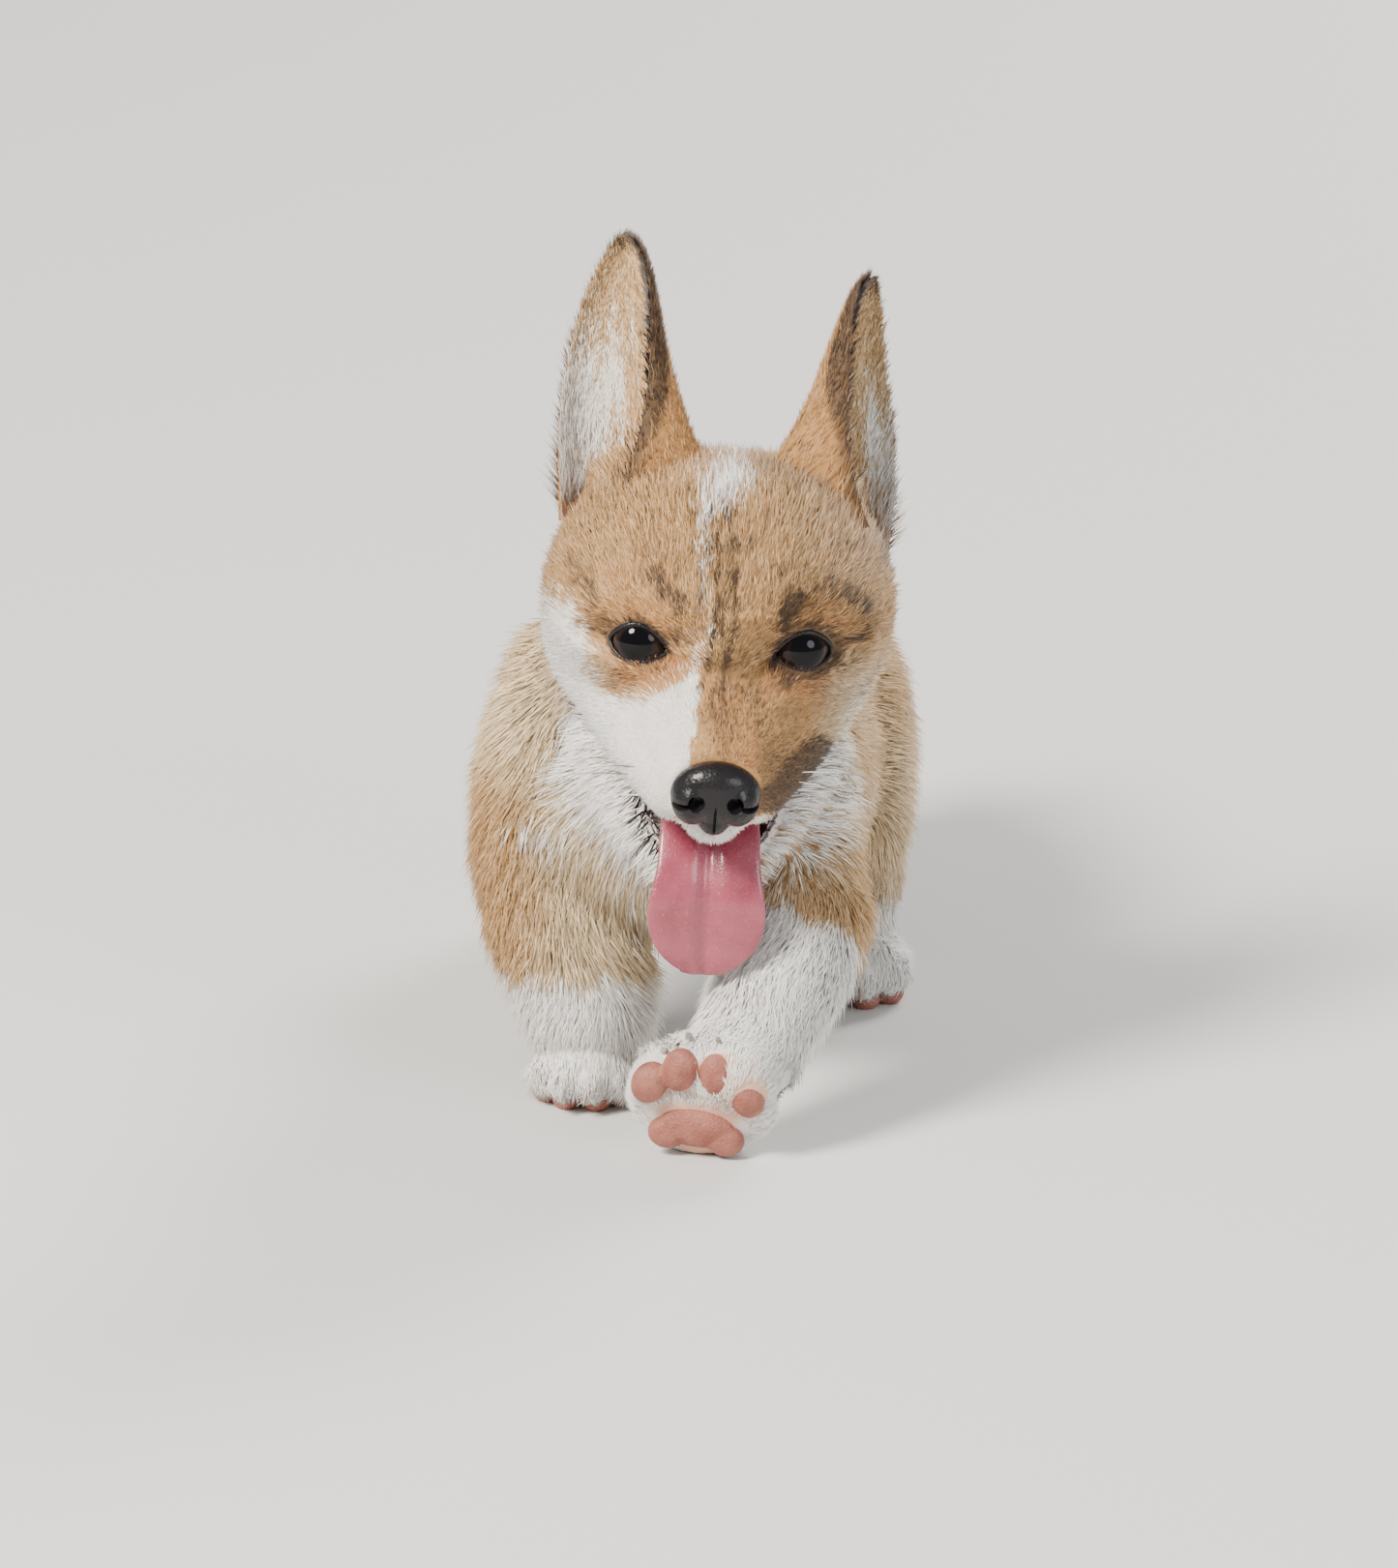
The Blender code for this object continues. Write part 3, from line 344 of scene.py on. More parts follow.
def new_piece(name, points, triangles, outward=True):
    """An object from points in millimetres, each in its final place."""
    mesh = bpy.data.meshes.new(name)
    points = (np.asarray(points) + FRAME_SHIFT) * MM
    mesh.vertices.add(len(points))
    mesh.vertices.foreach_set("co", points.astype(np.float32).ravel())
    mesh.loops.add(triangles.size)
    mesh.loops.foreach_set("vertex_index", triangles.astype(np.int32).ravel())
    mesh.polygons.add(len(triangles))
    mesh.polygons.foreach_set("loop_start", np.arange(0, triangles.size, 3, dtype=np.int32))
    mesh.update(calc_edges=True)
    if outward:
        sheet = bmesh.new()
        sheet.from_mesh(mesh)
        bmesh.ops.recalc_face_normals(sheet, faces=sheet.faces)
        sheet.to_mesh(mesh)
        sheet.free()
    mesh.shade_smooth()
    piece = bpy.data.objects.new(name, mesh)
    bpy.context.scene.collection.objects.link(piece)
    return piece


def joined_shells(shells):
    points, triangles, offset = [], [], 0
    for shell_points, shell_triangles in shells:
        points.append(shell_points)
        triangles.append(shell_triangles + offset)
        offset += len(shell_points)
    return np.vstack(points), np.vstack(triangles)


def vertex_array(mesh):
    """A mesh's points, in the millimetres that the forms are laid out in."""
    points = np.empty(len(mesh.vertices) * 3)
    mesh.vertices.foreach_get("co", points)
    return points.reshape(-1, 3) / MM - FRAME_SHIFT


def normal_array(mesh):
    normals = np.empty(len(mesh.vertices) * 3)
    mesh.vertex_normals.foreach_get("vector", normals)
    return normals.reshape(-1, 3)


def triangle_arrays(mesh):
    """The corners of each triangle, and the loops that carry their map coordinates."""
    mesh.calc_loop_triangles()
    corners = np.empty(len(mesh.loop_triangles) * 3, np.int32)
    loops = np.empty(len(mesh.loop_triangles) * 3, np.int32)
    mesh.loop_triangles.foreach_get("vertices", corners)
    mesh.loop_triangles.foreach_get("loops", loops)
    return corners.reshape(-1, 3), loops.reshape(-1, 3)


def settle(piece):
    """Writes a piece's modifiers into its mesh."""
    bpy.context.view_layer.update()
    graph = bpy.context.evaluated_depsgraph_get()
    mesh = bpy.data.meshes.new_from_object(piece.evaluated_get(graph))
    old = piece.data
    piece.modifiers.clear()
    piece.data = mesh
    mesh.name = piece.name
    bpy.data.meshes.remove(old)
    return piece


def fused(name, shells, voxel, smoothing):
    """Shells grown into one closed surface of small even faces, then smoothed."""
    piece = new_piece(name, *joined_shells(shells))
    remesh = piece.modifiers.new("remesh", "REMESH")
    remesh.mode = "VOXEL"
    remesh.voxel_size = voxel * MM
    if smoothing:
        smooth = piece.modifiers.new("smooth", "SMOOTH")
        smooth.factor = 0.5
        smooth.iterations = smoothing
    settle(piece)
    piece.data.shade_smooth()
    return piece


def cut(piece, shell):
    """Takes a closed shell out of a piece."""
    cutter = new_piece("cutter", *shell)
    step = piece.modifiers.new("cut", "BOOLEAN")
    step.operation = "DIFFERENCE"
    step.solver = "MANIFOLD"
    step.object = cutter
    settle(piece)
    discard(cutter)
    return piece


def discard(piece):
    mesh = piece.data
    bpy.data.objects.remove(piece)
    bpy.data.meshes.remove(mesh)


def as_shell(piece):
    """A piece's points and triangles, with the piece itself removed."""
    points = vertex_array(piece.data)
    triangles = triangle_arrays(piece.data)[0]
    discard(piece)
    return points, triangles


def write_marks(mesh, name, values):
    """Stores a colour of four numbers, or a vector of three, at each point."""
    kind = "FLOAT_COLOR" if values.shape[1] == 4 else "FLOAT_VECTOR"
    layer = mesh.attributes.new(name, kind, "POINT")
    layer.data.foreach_set("color" if kind == "FLOAT_COLOR" else "vector", values.astype(np.float32).ravel())


def place_piece(piece, finish, slot, *nodes):
    """Gives a piece its finish and its body, and hides the solids that it stands for."""
    piece.data.materials.clear()
    piece.data.materials.append(finish)
    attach(piece, "root")
    if nodes:
        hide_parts(*nodes)
    return piece


# The lie of the coat: where, which way it runs, its length and how far it stands off the skin, in degrees.
# The first table is in the head's own frame and each row there with x above 0 holds for both sides.
HEAD_LIE = (
    (0, -34, -12, 0, 1, 0.35, 2.0, 16), (0, -20, -8, 0, 1, 0.45, 2.6, 16), (0, -8, -1, 0, 0.75, 0.65, 3.2, 18),
    (0, 2, 14, 0, 0.55, 0.85, 4.2, 20), (0, 14, 28, 0, 0.75, 0.65, 5.5, 22), (0, 32, 37, 0, 1, 0.1, 7.5, 24),
    (0, 52, 30, 0, 0.9, -0.5, 10, 26), (22, 2, 12, 0.3, 0.5, 0.8, 3.0, 18), (36, 8, 8, 0.5, 0.8, 0.2, 4.0, 20),
    (32, 26, 30, 0.45, 0.5, 0.75, 8, 30), (40, 10, -8, 0.35, 0.9, -0.25, 4.5, 20),
    (25, -4, -16, 0.45, 0.85, -0.3, 2.6, 16), (14, -24, -22, 0.3, 0.95, -0.15, 2.2, 14),
    (10, -36, -34, 0.35, 0.5, -0.8, 2.2, 16), (22, -12, -32, 0.35, 0.85, -0.4, 3.0, 16),
    (40, 18, -24, 0.25, 0.75, -0.6, 7.0, 24), (46, 32, -10, 0.35, 0.85, -0.4, 9.0, 28),
    (40, 42, -30, 0.2, 0.75, -0.65, 12, 30), (30, 52, 0, 0.2, 0.95, -0.3, 10, 26),
    (0, -24, -66, 0, 0.6, -0.8, 4.5, 22), (18, -8, -58, 0.25, 0.8, -0.55, 5, 22),
    (30, 8, -56, 0.2, 0.75, -0.65, 8, 26), (0, 10, -64, 0, 0.6, -0.8, 8, 26), (0, 34, -60, 0, 0.5, -0.85, 12, 28),
)
BODY_LIE = (
    (-2, 40, 160, -0.1, 0.85, -0.4, 13, 26, 18), (-36, 26, 128, -0.2, 0.35, -0.9, 15, 28, 18),
    (46, 26, 128, 0.1, 0.35, -0.9, 15, 28, 18), (-8, 70, 148, 0, 0.95, -0.25, 13, 24, 20),
    (4, -6, 112, 0, 0, -1, 16, 28, 18), (-8, -14, 84, -0.15, 0, -1, 17, 30, 18),
    (-8, 0, 50, 0, 0.35, -0.9, 14, 28, 18), (-62, 34, 96, -0.05, 0.3, -0.95, 13, 24, 18),
    (48, 24, 92, 0.05, 0.3, -0.95, 13, 24, 16), (-9, 110, 140, 0, 1, -0.1, 13, 22, 24),
    (-15, 185, 134, 0, 0.85, -0.5, 14, 24, 20), (-17, 224, 96, 0, 0.4, -0.9, 16, 30, 16),
    (-62, 100, 84, 0, 0.85, -0.5, 13, 24, 22), (44, 100, 84, 0, 0.85, -0.5, 13, 24, 22),
    (-9, 90, 36, 0, 0.95, -0.2, 9, 22, 22), (-14, 150, 48, 0, 0.9, -0.3, 9, 22, 20),
    (-62, 20, 62, 0.05, 0.1, -1, 12, 24, 13), (-44, -6, 62, 0, -0.1, -1, 10, 22, 13),
    (-40, 52, 60, 0, 0.5, -0.85, 15, 32, 12), (-32, 4, 36, 0.1, -0.1, -1, 9, 24, 11),
    (-34, 32, 36, 0, 0.4, -0.9, 14, 32, 10), (-27, -8, 18, 0, -0.5, -0.85, 6.5, 15, 8),
    (-27, -14, 10, 0, -0.95, -0.3, 4.5, 16, 8), (52, 8, 76, 0.05, 0, -1, 12, 24, 12),
    (36, 24, 58, 0, 0.5, -0.85, 15, 32, 11), (30, -28, 54, -0.3, -0.75, -0.6, 9, 24, 11),
    (30, -6, 38, -0.2, -0.3, -0.95, 13, 30, 10), (19, -50, 26, -0.3, -0.7, -0.3, 6, 20, 7),
    (11, -48, 18, 0, 0, 1, 4.5, 16, 7), (11, -66, 15, 0, -0.2, 1, 3, 20, 7), (27, -60, 20, 0.5, 0.5, 0.6, 3, 18, 7),
    (18, -60, 29, 0.1, 0.6, 0.8, 3.5, 18, 6), (-4, -60, 20, -0.6, 0.4, 0.6, 3, 18, 7),
    (31, -4, 68, -0.1, -0.9, -0.4, 10, 20, 10),
    (50, 146, 80, 0.1, 0.1, -1, 13, 24, 16), (18, 200, 78, 0, 0.4, -0.9, 18, 32, 13),
    (40, 106, 56, 0.1, -0.1, -1, 10, 22, 12), (38, 124, 34, 0, 0.1, -1, 8, 22, 10),
    (36, 100, 9, 0, -0.95, -0.3, 4.5, 16, 8), (-66, 160, 78, -0.1, 0.1, -1, 13, 24, 16),
    (-54, 142, 56, -0.1, 0, -1, 10, 22, 12), (-42, 206, 80, 0, 0.4, -0.9, 18, 32, 13),
    (-50, 176, 40, 0, 0.5, -0.85, 8, 22, 10), (-48, 196, 24, 0, 0.1, -1, 7, 22, 9),
    (-48, 180, 9, 0, -0.95, -0.3, 4.5, 16, 8), (-16, 218, 126, 0, 1, 0.05, 13, 34, 9),
    (-16, 224, 104, 0, 0.9, -0.4, 13, 30, 9), (-16, 236, 113, 0, 1, 0, 12, 34, 9),
)
HEAD_REACH = 11.0


def lie_table():
    """Both tables in one frame: places, directions, lengths, lifts and reaches."""
    head = np.array(HEAD_LIE)
    twin = head[head[:, 0] > 0] * np.array([-1, 1, 1, -1, 1, 1, 1, 1])
    head = np.vstack([head, twin])
    body = np.array(BODY_LIE)
    places = np.vstack([HEAD.at(head[:, :3]), body[:, :3]])
    ways = unit(np.vstack([HEAD.way(head[:, 3:6]), body[:, 3:6]]))
    lengths = np.concatenate([head[:, 6], body[:, 6]])
    lifts = np.radians(np.concatenate([head[:, 7], 0.82 * body[:, 7]]))
    reaches = np.concatenate([np.full(len(head), HEAD_REACH), body[:, 8]])
    return places, ways, lengths, lifts, reaches


LIE = lie_table()


def comb(points):
    """The way, length and lift of the hair at each point: the table's rows blended by exp(-d^2 / 2 r^2)."""
    places, ways, lengths, lifts, reaches = LIE
    answers = []
    for part in np.array_split(points, max(1, len(points) // 20000)):
        square = ((part[:, None] - places[None]) ** 2).sum(-1) / (2 * reaches**2)
        weight = np.exp(-(square - square.min(1, keepdims=True)))
        weight /= weight.sum(1, keepdims=True)
        answers.append(np.column_stack([weight @ ways, weight @ lengths, weight @ lifts]))
    table = np.vstack(answers)
    return unit(table[:, :3]), table[:, 3], table[:, 4]


# Markings, shared by skin and coat: white, sable, cream and rufous shares at each point


def in_ball(points, centre, radii, softness):
    """1 inside an ellipsoid, falling to 0 across its edge."""
    distance = np.linalg.norm((points - np.array(centre, float)) / np.array(radii, float), axis=1)
    return 1 - smooth_step(1 - softness, 1 + softness, distance)


# Strokes on the face, seen along the line of sight: x, down, x, down, reach and strength, in millimetres from the
# point midway between the eyes
WHITE_STROKES = (
    (1.5, -43.5, -1.5, -40.5, 6.4, 0.86), (-2.5, -40, -5.5, -34, 3.4, 0.72), (-5, -36, -7.0, -26, 2.4, 0.50),
    (-7.0, -26, -5.4, -14, 1.6, 0.28), (-5.4, -14, -3.4, -2, 1.5, 0.26), (-4.0, -1, -7.4, 12, 2.2, 0.42),
    (1.5, 52, 14.0, 56, 4.2, 0.8),
)
# Dark strokes: sable marks, and painted shade on the puppy's left side away from the key light. The strokes from (9,
# 16) and (24, 1) are painted shade on the muzzle and beside the eye, the one from (34, 39) is a painted shadow behind
# the corner of the lip, and the dark lip patch from (17, 43) is deepened by painted shade.
SABLE_AND_SHADE_STROKES = (
    (2.2, -24, -0.5, -3, 3.0, 0.60), (-5.0, -30, -6.2, -12, 2.4, 0.5), (9, 16, 15, 34, 8.0, 0.44),
    (1, 4, 2, 26, 8.0, 0.52), (-2, 24, 4.5, 36, 5.0, 0.42), (-41, -18, -36.5, -8.5, 3.6, 0.55),
    (-20, -16, -12, -8, 3.8, 0.70), (-16.5, 4.0, -11.5, 0.5, 3.0, 0.75), (-35, -2.5, -31, -4.5, 2.6, 0.55),
    (17.0, -5.5, 20, -12, 4.2, 0.85), (20.5, -13, 29, -14.5, 3.4, 0.62), (30, -15, 39, -11, 3.6, 0.60),
    (39, -11, 41, -5.5, 3.4, 0.55), (14.5, 3, 18, 10, 4.2, 0.80), (24, 1, 26, 2, 13.0, 0.60), (14, -12, 22, -20, 11.0, 0.36),
    (-20, -20, -12, -16, 7.0, 0.34),
    (32, -1, 38.5, -3.5, 2.2, 0.8), (18, 8, 29, 8.5, 3.0, 0.62), (-27, 9, -16, 9.5, 3.2, 0.42),
    (17, 43, 28.5, 30.5, 6.2, 1.0), (34, 39, 44, 33, 4.6, 0.6), (44, -38, 46, -25, 4.2, 0.65),
    (-24, -61, -17, -56, 4.6, 0.55), (27, -60, 42, -54, 5.2, 0.55),
)
RUFOUS_STROKES = (
    (-31, 9, -14, 9, 7.0, 1.0), (-24, -1, -22, -1, 14.5, 0.75), (17, 11, 32, 11, 7.4, 1.0),
    (24, 1, 26, 1, 15.0, 0.75), (0, 16, 8, 32, 8.5, 0.75), (-30, -15, -16, -16, 5.0, 0.5),
)


def stroked(x, down, strokes):
    """The strongest of soft strokes: each falls off from its line by exp(-(d / reach)^2)."""
    total = np.zeros(len(x))
    for x1, d1, x2, d2, reach, strength in strokes:
        across, along = x2 - x1, d2 - d1
        t = np.clip(((x - x1) * across + (down - d1) * along) / (across**2 + along**2), 0, 1)
        distance = np.hypot(x - x1 - t * across, down - d1 - t * along)
        total = np.maximum(total, strength * np.exp(-((distance / reach) ** 2)))
    return total


def head_markings(q):
    """White, sable, cream and rufous on the head, at points in the head's own frame."""
    x, y, z = q.T
    ragged = wave(q, 6.0, 3) * 1.1 + wave(q, 2.2, 4) * 0.7
    other = wave(q, 5.0, 13) * 0.9 + wave(q, 2.0, 14) * 0.6
    down = -0.643 * y - 0.766 * z + ragged
    sight = x + other
    facing, near_cheek = smooth_step(52, 40, y), smooth_step(38, 22, y + 2 * ragged)
    lip_z = np.interp(y, LIP_LINE_Y, LIP_LINE_Z)

    boundary = np.interp(down, (0, 26, 34, 42), (-5.4, -5.8, -7.4, -10.0))
    top = np.interp(x, (-34, -24, -14, -7), (17.5, 18.0, 14.5, 8.0))
    white_muzzle = smooth_step(-4.5, 4.5, down - top) * smooth_step(-1.6, 2.0, boundary - sight) * (x > -40)
    right_edge = np.interp(down, (-18, -9, 0, 10, 16, 22), (-47, -41, -37, -34.5, -31, -22))
    right_cheek = smooth_step(-5, 5, right_edge - sight) * smooth_step(-17, 0, down) * near_cheek
    left_cheek = smooth_step(-4, 6, sight - (40 - 0.28 * down)) * smooth_step(4, 22, down) * near_cheek
    front_lip = smooth_step(-27, -31, z) * smooth_step(-24, -31, y) * smooth_step(18, 13, x)
    lower_jaw = smooth_step(1.5, 4.0, lip_z - z) * smooth_step(26, 10, y + 2 * ragged)
    strokes = stroked(x + 0.45 * other, down, WHITE_STROKES) * facing
    white = np.maximum.reduce([strokes, white_muzzle, 0.95 * right_cheek, 0.6 * left_cheek, 0.8 * front_lip,
                               0.7 * lower_jaw])
    # A little sable all over the head, plus painted shade that deepens it towards the puppy's left side of the
    # forehead and crown, away from the key light.
    sable = 0.13 + 0.13 * smooth_step(-24, 24, x) * smooth_step(-6, -24, down)
    streak = wave(q * (3.0, 0.6, 0.6), 6.5, 17) + 0.7 * wave(q * (5.0, 0.9, 0.9), 6.5, 18)
    near_face = np.where(down > 18, near_cheek, facing)
    # Dark strokes: sable marks, and painted shade on the puppy's left cheek and muzzle.
    sable = np.maximum(sable, 1.25 * stroked(x + 0.4 * other, down, SABLE_AND_SHADE_STROKES) * near_face)
    central = stroked(sight, down, ((-1.5, -32, -1.5, 18, 8.5, 1.0),)) * facing
    sable = np.maximum(sable, central * np.clip(0.58 + 0.42 * streak, 0, 1))
    sable = np.clip(sable + 0.16 * streak * smooth_step(30, 10, down), 0, 1)
    rufous = 0.18 + 0.2 * smooth_step(14, 30, down) * smooth_step(-4, 4, x) * smooth_step(30, 18, x)
    rufous = np.maximum(rufous, stroked(x, down, RUFOUS_STROKES) * facing)
    cream = 0.20 + 0.75 * smooth_step(24, 38, np.abs(x)) * smooth_step(-6, 16, down)
    cream = np.maximum(cream, 0.9 * smooth_step(30, 55, y) * smooth_step(8, -14, z))
    return white, sable, cream, rufous


def body_markings(points):
    """White, sable, cream and rufous on the neck, trunk, tail and legs."""
    x, y, z = points.T
    ragged = wave(points, 13.0, 5) * 2.4 + wave(points, 4.5, 6) * 1.5
    left_line = (points - (33.5, -9, 56)) @ (-0.27, -0.75, -0.6)
    right_foreleg = smooth_step(64, 56, y) * (x <= 0) * smooth_step(3.0, -3.0, z - 41 + ragged)
    left_foreleg = smooth_step(64, 56, y) * (x > 0) * np.maximum(
        smooth_step(-3.0, 3.0, left_line + ragged), smooth_step(3.0, -3.0, z - 38 + ragged))
    hind_leg = smooth_step(84, 92, y) * smooth_step(3, -3, z - 32 + ragged)
    belly = smooth_step(6, -6, z - 50 + ragged) * smooth_step(38, 28, np.abs(x + 9)) * (y > 30)
    bib = smooth_step(30, 12, np.abs(x - 2) + ragged) * smooth_step(30, 10, y) * smooth_step(150, 130, z)
    streaks = np.maximum(0.52 * in_ball(points, (-40, 2, 82), (11, 20, 4.5), 0.6),
                         0.6 * in_ball(points, (-30, 0, 110), (5.5, 22, 15), 0.6))
    white = np.maximum.reduce([right_foreleg, left_foreleg, hind_leg, belly, 0.27 * bib, streaks])
    front = smooth_step(56, 14, y) * smooth_step(158, 132, z)
    outer = smooth_step(-46, -58, x) * smooth_step(104, 90, z)
    cream = 0.42 + 0.48 * front * (1 - 0.75 * outer)
    cream = np.maximum(cream, 0.72 * smooth_step(34, 46, x) * smooth_step(30, 60, y) * smooth_step(125, 100, z))
    cream = np.maximum(cream, 0.85 * smooth_step(196, 214, y) * smooth_step(118, 106, z))
    arms = smooth_step(112, 84, z) * smooth_step(64, 46, y) * smooth_step(26, 44, np.abs(x + 4))
    cream = cream * (1 - 0.65 * arms)
    sable = 0.08 + 0.20 * smooth_step(120, 146, z) * smooth_step(20, 60, y)
    return white, sable, cream, 0.18 + 0.10 * arms


def markings(points):
    """The shares of white, sable, cream and rufous at each point of the animal."""
    q = HEAD.local(points)
    on_head = in_ball(q, (0, 12, -16), (62, 66, 62), 0.16)
    pairs = zip(head_markings(q), body_markings(points))
    shares = np.column_stack([on_head * head + (1 - on_head) * body for head, body in pairs])
    radius = bpy.context.scene.corgi_form.eye_radius / MM
    for side, reach in ((-1, 1.40), (1, 1.85)):
        _, distance, almond = eye_almond(points, side, radius)
        dark = smooth_step(reach, 0.25 + 0.62 * reach, almond) * smooth_step(13.5, 11.5, distance)
        shares[:, 0] *= 1 - dark
        shares[:, 1] = np.maximum(shares[:, 1], dark)
    return shares


# The skin


def toe_places(spread):
    """Each toe's middle, turn and forward way in its paw's frame."""
    for x, y, yaw in TOES:
        turn = turn_z(-yaw * spread)
        yield x * spread, y, turn, turn @ np.array([0, -1, 0])


def paw_shells(place, spread):
    """The foot with four toes, above its pads."""
    shells = [
        ball((0, 3, 11.5), (17.5 * spread, 16, 9), place), ball((0, 10, 12.5), (14.5, 13, 10.5), place),
        ball((0, -6, 10.5), (14.5 * spread, 12, 7.8), place), ball((0, -4, 15), (13.5, 11, 7), place),
    ]
    for x, y, turn, _ in toe_places(spread):
        shells.append(ball((x, y, 9.6), (6.2, 11.0, 7.4), place, turn))
    return shells


def pad_shells(place, spread):
    """Four toe pads and the heart-shaped pad behind them."""
    shells = []
    planted = place.turn[2, 2] > 0.9
    for x, y, turn, forward in toe_places(spread):
        centre = np.array([x, y, 4.0]) + forward * (0.6 if planted else 1.6)
        shells.append(ball(centre, (4.4, 5.2, 4.2) if planted else (5.2, 6.8, 4.6), place, turn))
    shells.append(ball((0, 7.2, 4.0), (8.6 * spread, 6.2, 4.3), place))
    for side in (-1, 1):
        shells.append(ball((side * 6.6 * spread, 10.2, 4.0), (5.6, 4.8, 4.2), place))
    return shells


def head_shells():
    shells = [ball((0, -37.5, -33), (9.5, 8.0, 8.2), HEAD), tube(HEAD_ROWS, HEAD, 48, 8, 0.5, power=2.15), tube(MANDIBLE_ROWS, HEAD, 40, 6, 0.5, power=2.3)]
    for side in (-1, 1):
        lip = [(side * x, y, z, wide, deep) for x, y, z, wide, deep in LIP_ROWS]
        shells += [
            tube(lip, HEAD, 28, 6, 0.7),
            ball((side * 26, 25, -17), (24, 25, 23), HEAD),
            ball((side * 18, 3, 9.5), (11, 9, 7), HEAD, turn_y(side * 20)),
            ball((side * EYE[0], EYE[1], EYE[2]), (10.6,) * 3, HEAD),
            ball((side * 25, 47, 13), (17, 14, 14), HEAD, turn_y(side * 30)),
        ]
    return shells


def mouth_opening():
    """All that lies below the line of the upper lip, in front of the corner of the mouth."""
    line = list(zip(LIP_LINE_Y, LIP_LINE_Z))
    return prism(line + [(8, -110), (-60, -110)], 60, HEAD)


def eye_turn(side):
    """Turns -y to the line of sight, up and outward."""
    return turn_z(side * EYE_LOOKS_OUT) @ turn_x(-EYE_LOOKS_UP) @ turn_y(side * 6.0)


def fissure_height(wide):
    """Half the height of the opening between the lids, at a share of its half-width from its middle."""
    return FISSURE_HALF_HEIGHT * (1 - 0.32 * np.clip(np.abs(wide), 0, 1) ** 2)


def eye_almond(points, side, radius):
    """Each point in the eye's frame, its distance, and its almond measure once drawn onto the eyeball.

    With a the angle from the line of sight, R a is split into x and z, and the measure is
    sqrt((x / w)^2 + (z / h(x))^2), which is 1 on the edge of the lids.
    """
    turn = HEAD.turn @ eye_turn(side)
    q = (points - HEAD.at((side * EYE[0], EYE[1], EYE[2]))) @ turn
    distance = np.maximum(np.linalg.norm(q, axis=1), 0.1)
    out = np.maximum(np.hypot(q[:, 0], q[:, 2]), 1e-6)
    arc = np.arctan2(out, -q[:, 1]) * radius / out
    wide = q[:, 0] * arc / FISSURE_HALF_WIDTH
    high = (q[:, 2] * arc + CORNER_DROP * np.clip(-side * wide, 0, 1.4) ** 2) / fissure_height(wide)
    return q, distance, np.hypot(wide, high)


def open_lids(points, radius):
    """Presses the skin into an almond opening over each eyeball and raises a lid round it."""
    for side in (-1, 1):
        q, distance, almond = eye_almond(points, side, radius)
        lid = radius + 0.9 + 0.5 * (q[:, 2] > 0)
        wanted = radius * 0.84 + (lid - radius * 0.84) * smooth_step(0.96, 1.14, almond)
        share = (1 - smooth_step(1.18, 1.60, almond)) * smooth_step(21.5, 17.0, distance)
        centre = points - q @ (HEAD.turn @ eye_turn(side)).T
        points = centre + (points - centre) * (1 + (wanted / distance - 1) * share)[:, None]
    return points


def refine(piece, radius):
    """Halves the skin's faces round the eyes, where the lids need a sharp edge."""
    mesh = piece.data
    points = vertex_array(mesh)
    near = np.zeros(len(points), bool)
    for side in (-1, 1):
        near |= np.linalg.norm(points - HEAD.at((side * EYE[0], EYE[1], EYE[2])), axis=1) < radius * 1.9
    sheet = bmesh.new()
    sheet.from_mesh(mesh)
    edges = [edge for edge in sheet.edges if near[edge.verts[0].index] and near[edge.verts[1].index]]
    bmesh.ops.subdivide_edges(sheet, edges=edges, cuts=1, use_grid_fill=True)
    bmesh.ops.triangulate(sheet, faces=[face for face in sheet.faces if len(face.verts) > 4])
    sheet.to_mesh(mesh)
    sheet.free()
    mesh.shade_smooth()


def build_skin(form):
    """One skin for the whole animal, drawn in from the coat's tips by the coat's depth."""
    voxel = form.skin_voxel
    head = fused("head_form", head_shells(), 1.2, 6)
    cut(head, mouth_opening())
    cut(head, ball((0, -14, -40), (14, 24, 9), HEAD))
    jaw = fused("jaw_form", [tube(JAW_ROWS, HEAD, 40, 8, 0.8, power=2.3)], 1.2, 3)
    cut(jaw, prism([(7.7, -120), (90, -120), (90, 60), (7.7, 60)], 80, HEAD))
    cut(jaw, ball((0, -10, -46), (17, 24, 9), HEAD, turn_x(16)))
    body_shells = [tube(BARREL_ROWS, WORLD, 48, 6, 0.6, power=2.2), tube(BACK_ROWS, WORLD, 40, 6, 0.6),
                   tube(NECK_ROWS, WORLD, 40, 6, 0.5), tube(TAIL_ROWS, WORLD, 28, 6, 0.8)]
    body_shells += [tube(rows, WORLD, 32, 6, 0.8) for rows in LIMB_ROWS]
    body = fused("body_form", body_shells, 2.2, 10)
    shells = [as_shell(head), as_shell(jaw), as_shell(body)]
    for _, place, spread in PAWS:
        shells += paw_shells(place, spread)
    skin = fused("skin", shells, voxel, 2)
    refine(skin, form.eye_radius / MM)

    mesh = skin.data
    points = vertex_array(mesh)
    _, length, lift = comb(points)
    depth = 0.88 * length * np.sin(lift)
    q = HEAD.local(points)
    near_nose = in_ball(q, NOSE, (13.0, 10.0, 10.8), 0.14)
    depth = depth * (1 - near_nose) + 5.5 * near_nose + 0.9 * in_ball(q, NOSE, (16.0, 12.0, 14.0), 0.25)
    for side in (-1, 1):
        depth += 2.2 * in_ball(q, (side * 12.5, -15, 4.5), (6.5, 6.5, 9.5), 0.7)
    points = points - normal_array(mesh) * depth[:, None]
    points = open_lids(points, form.eye_radius / MM)
    points[:, 2] = np.maximum(points[:, 2], 0.6)
    mesh.vertices.foreach_set("co", ((points + FRAME_SHIFT) * MM).astype(np.float32).ravel())
    mesh.update()
    return skin


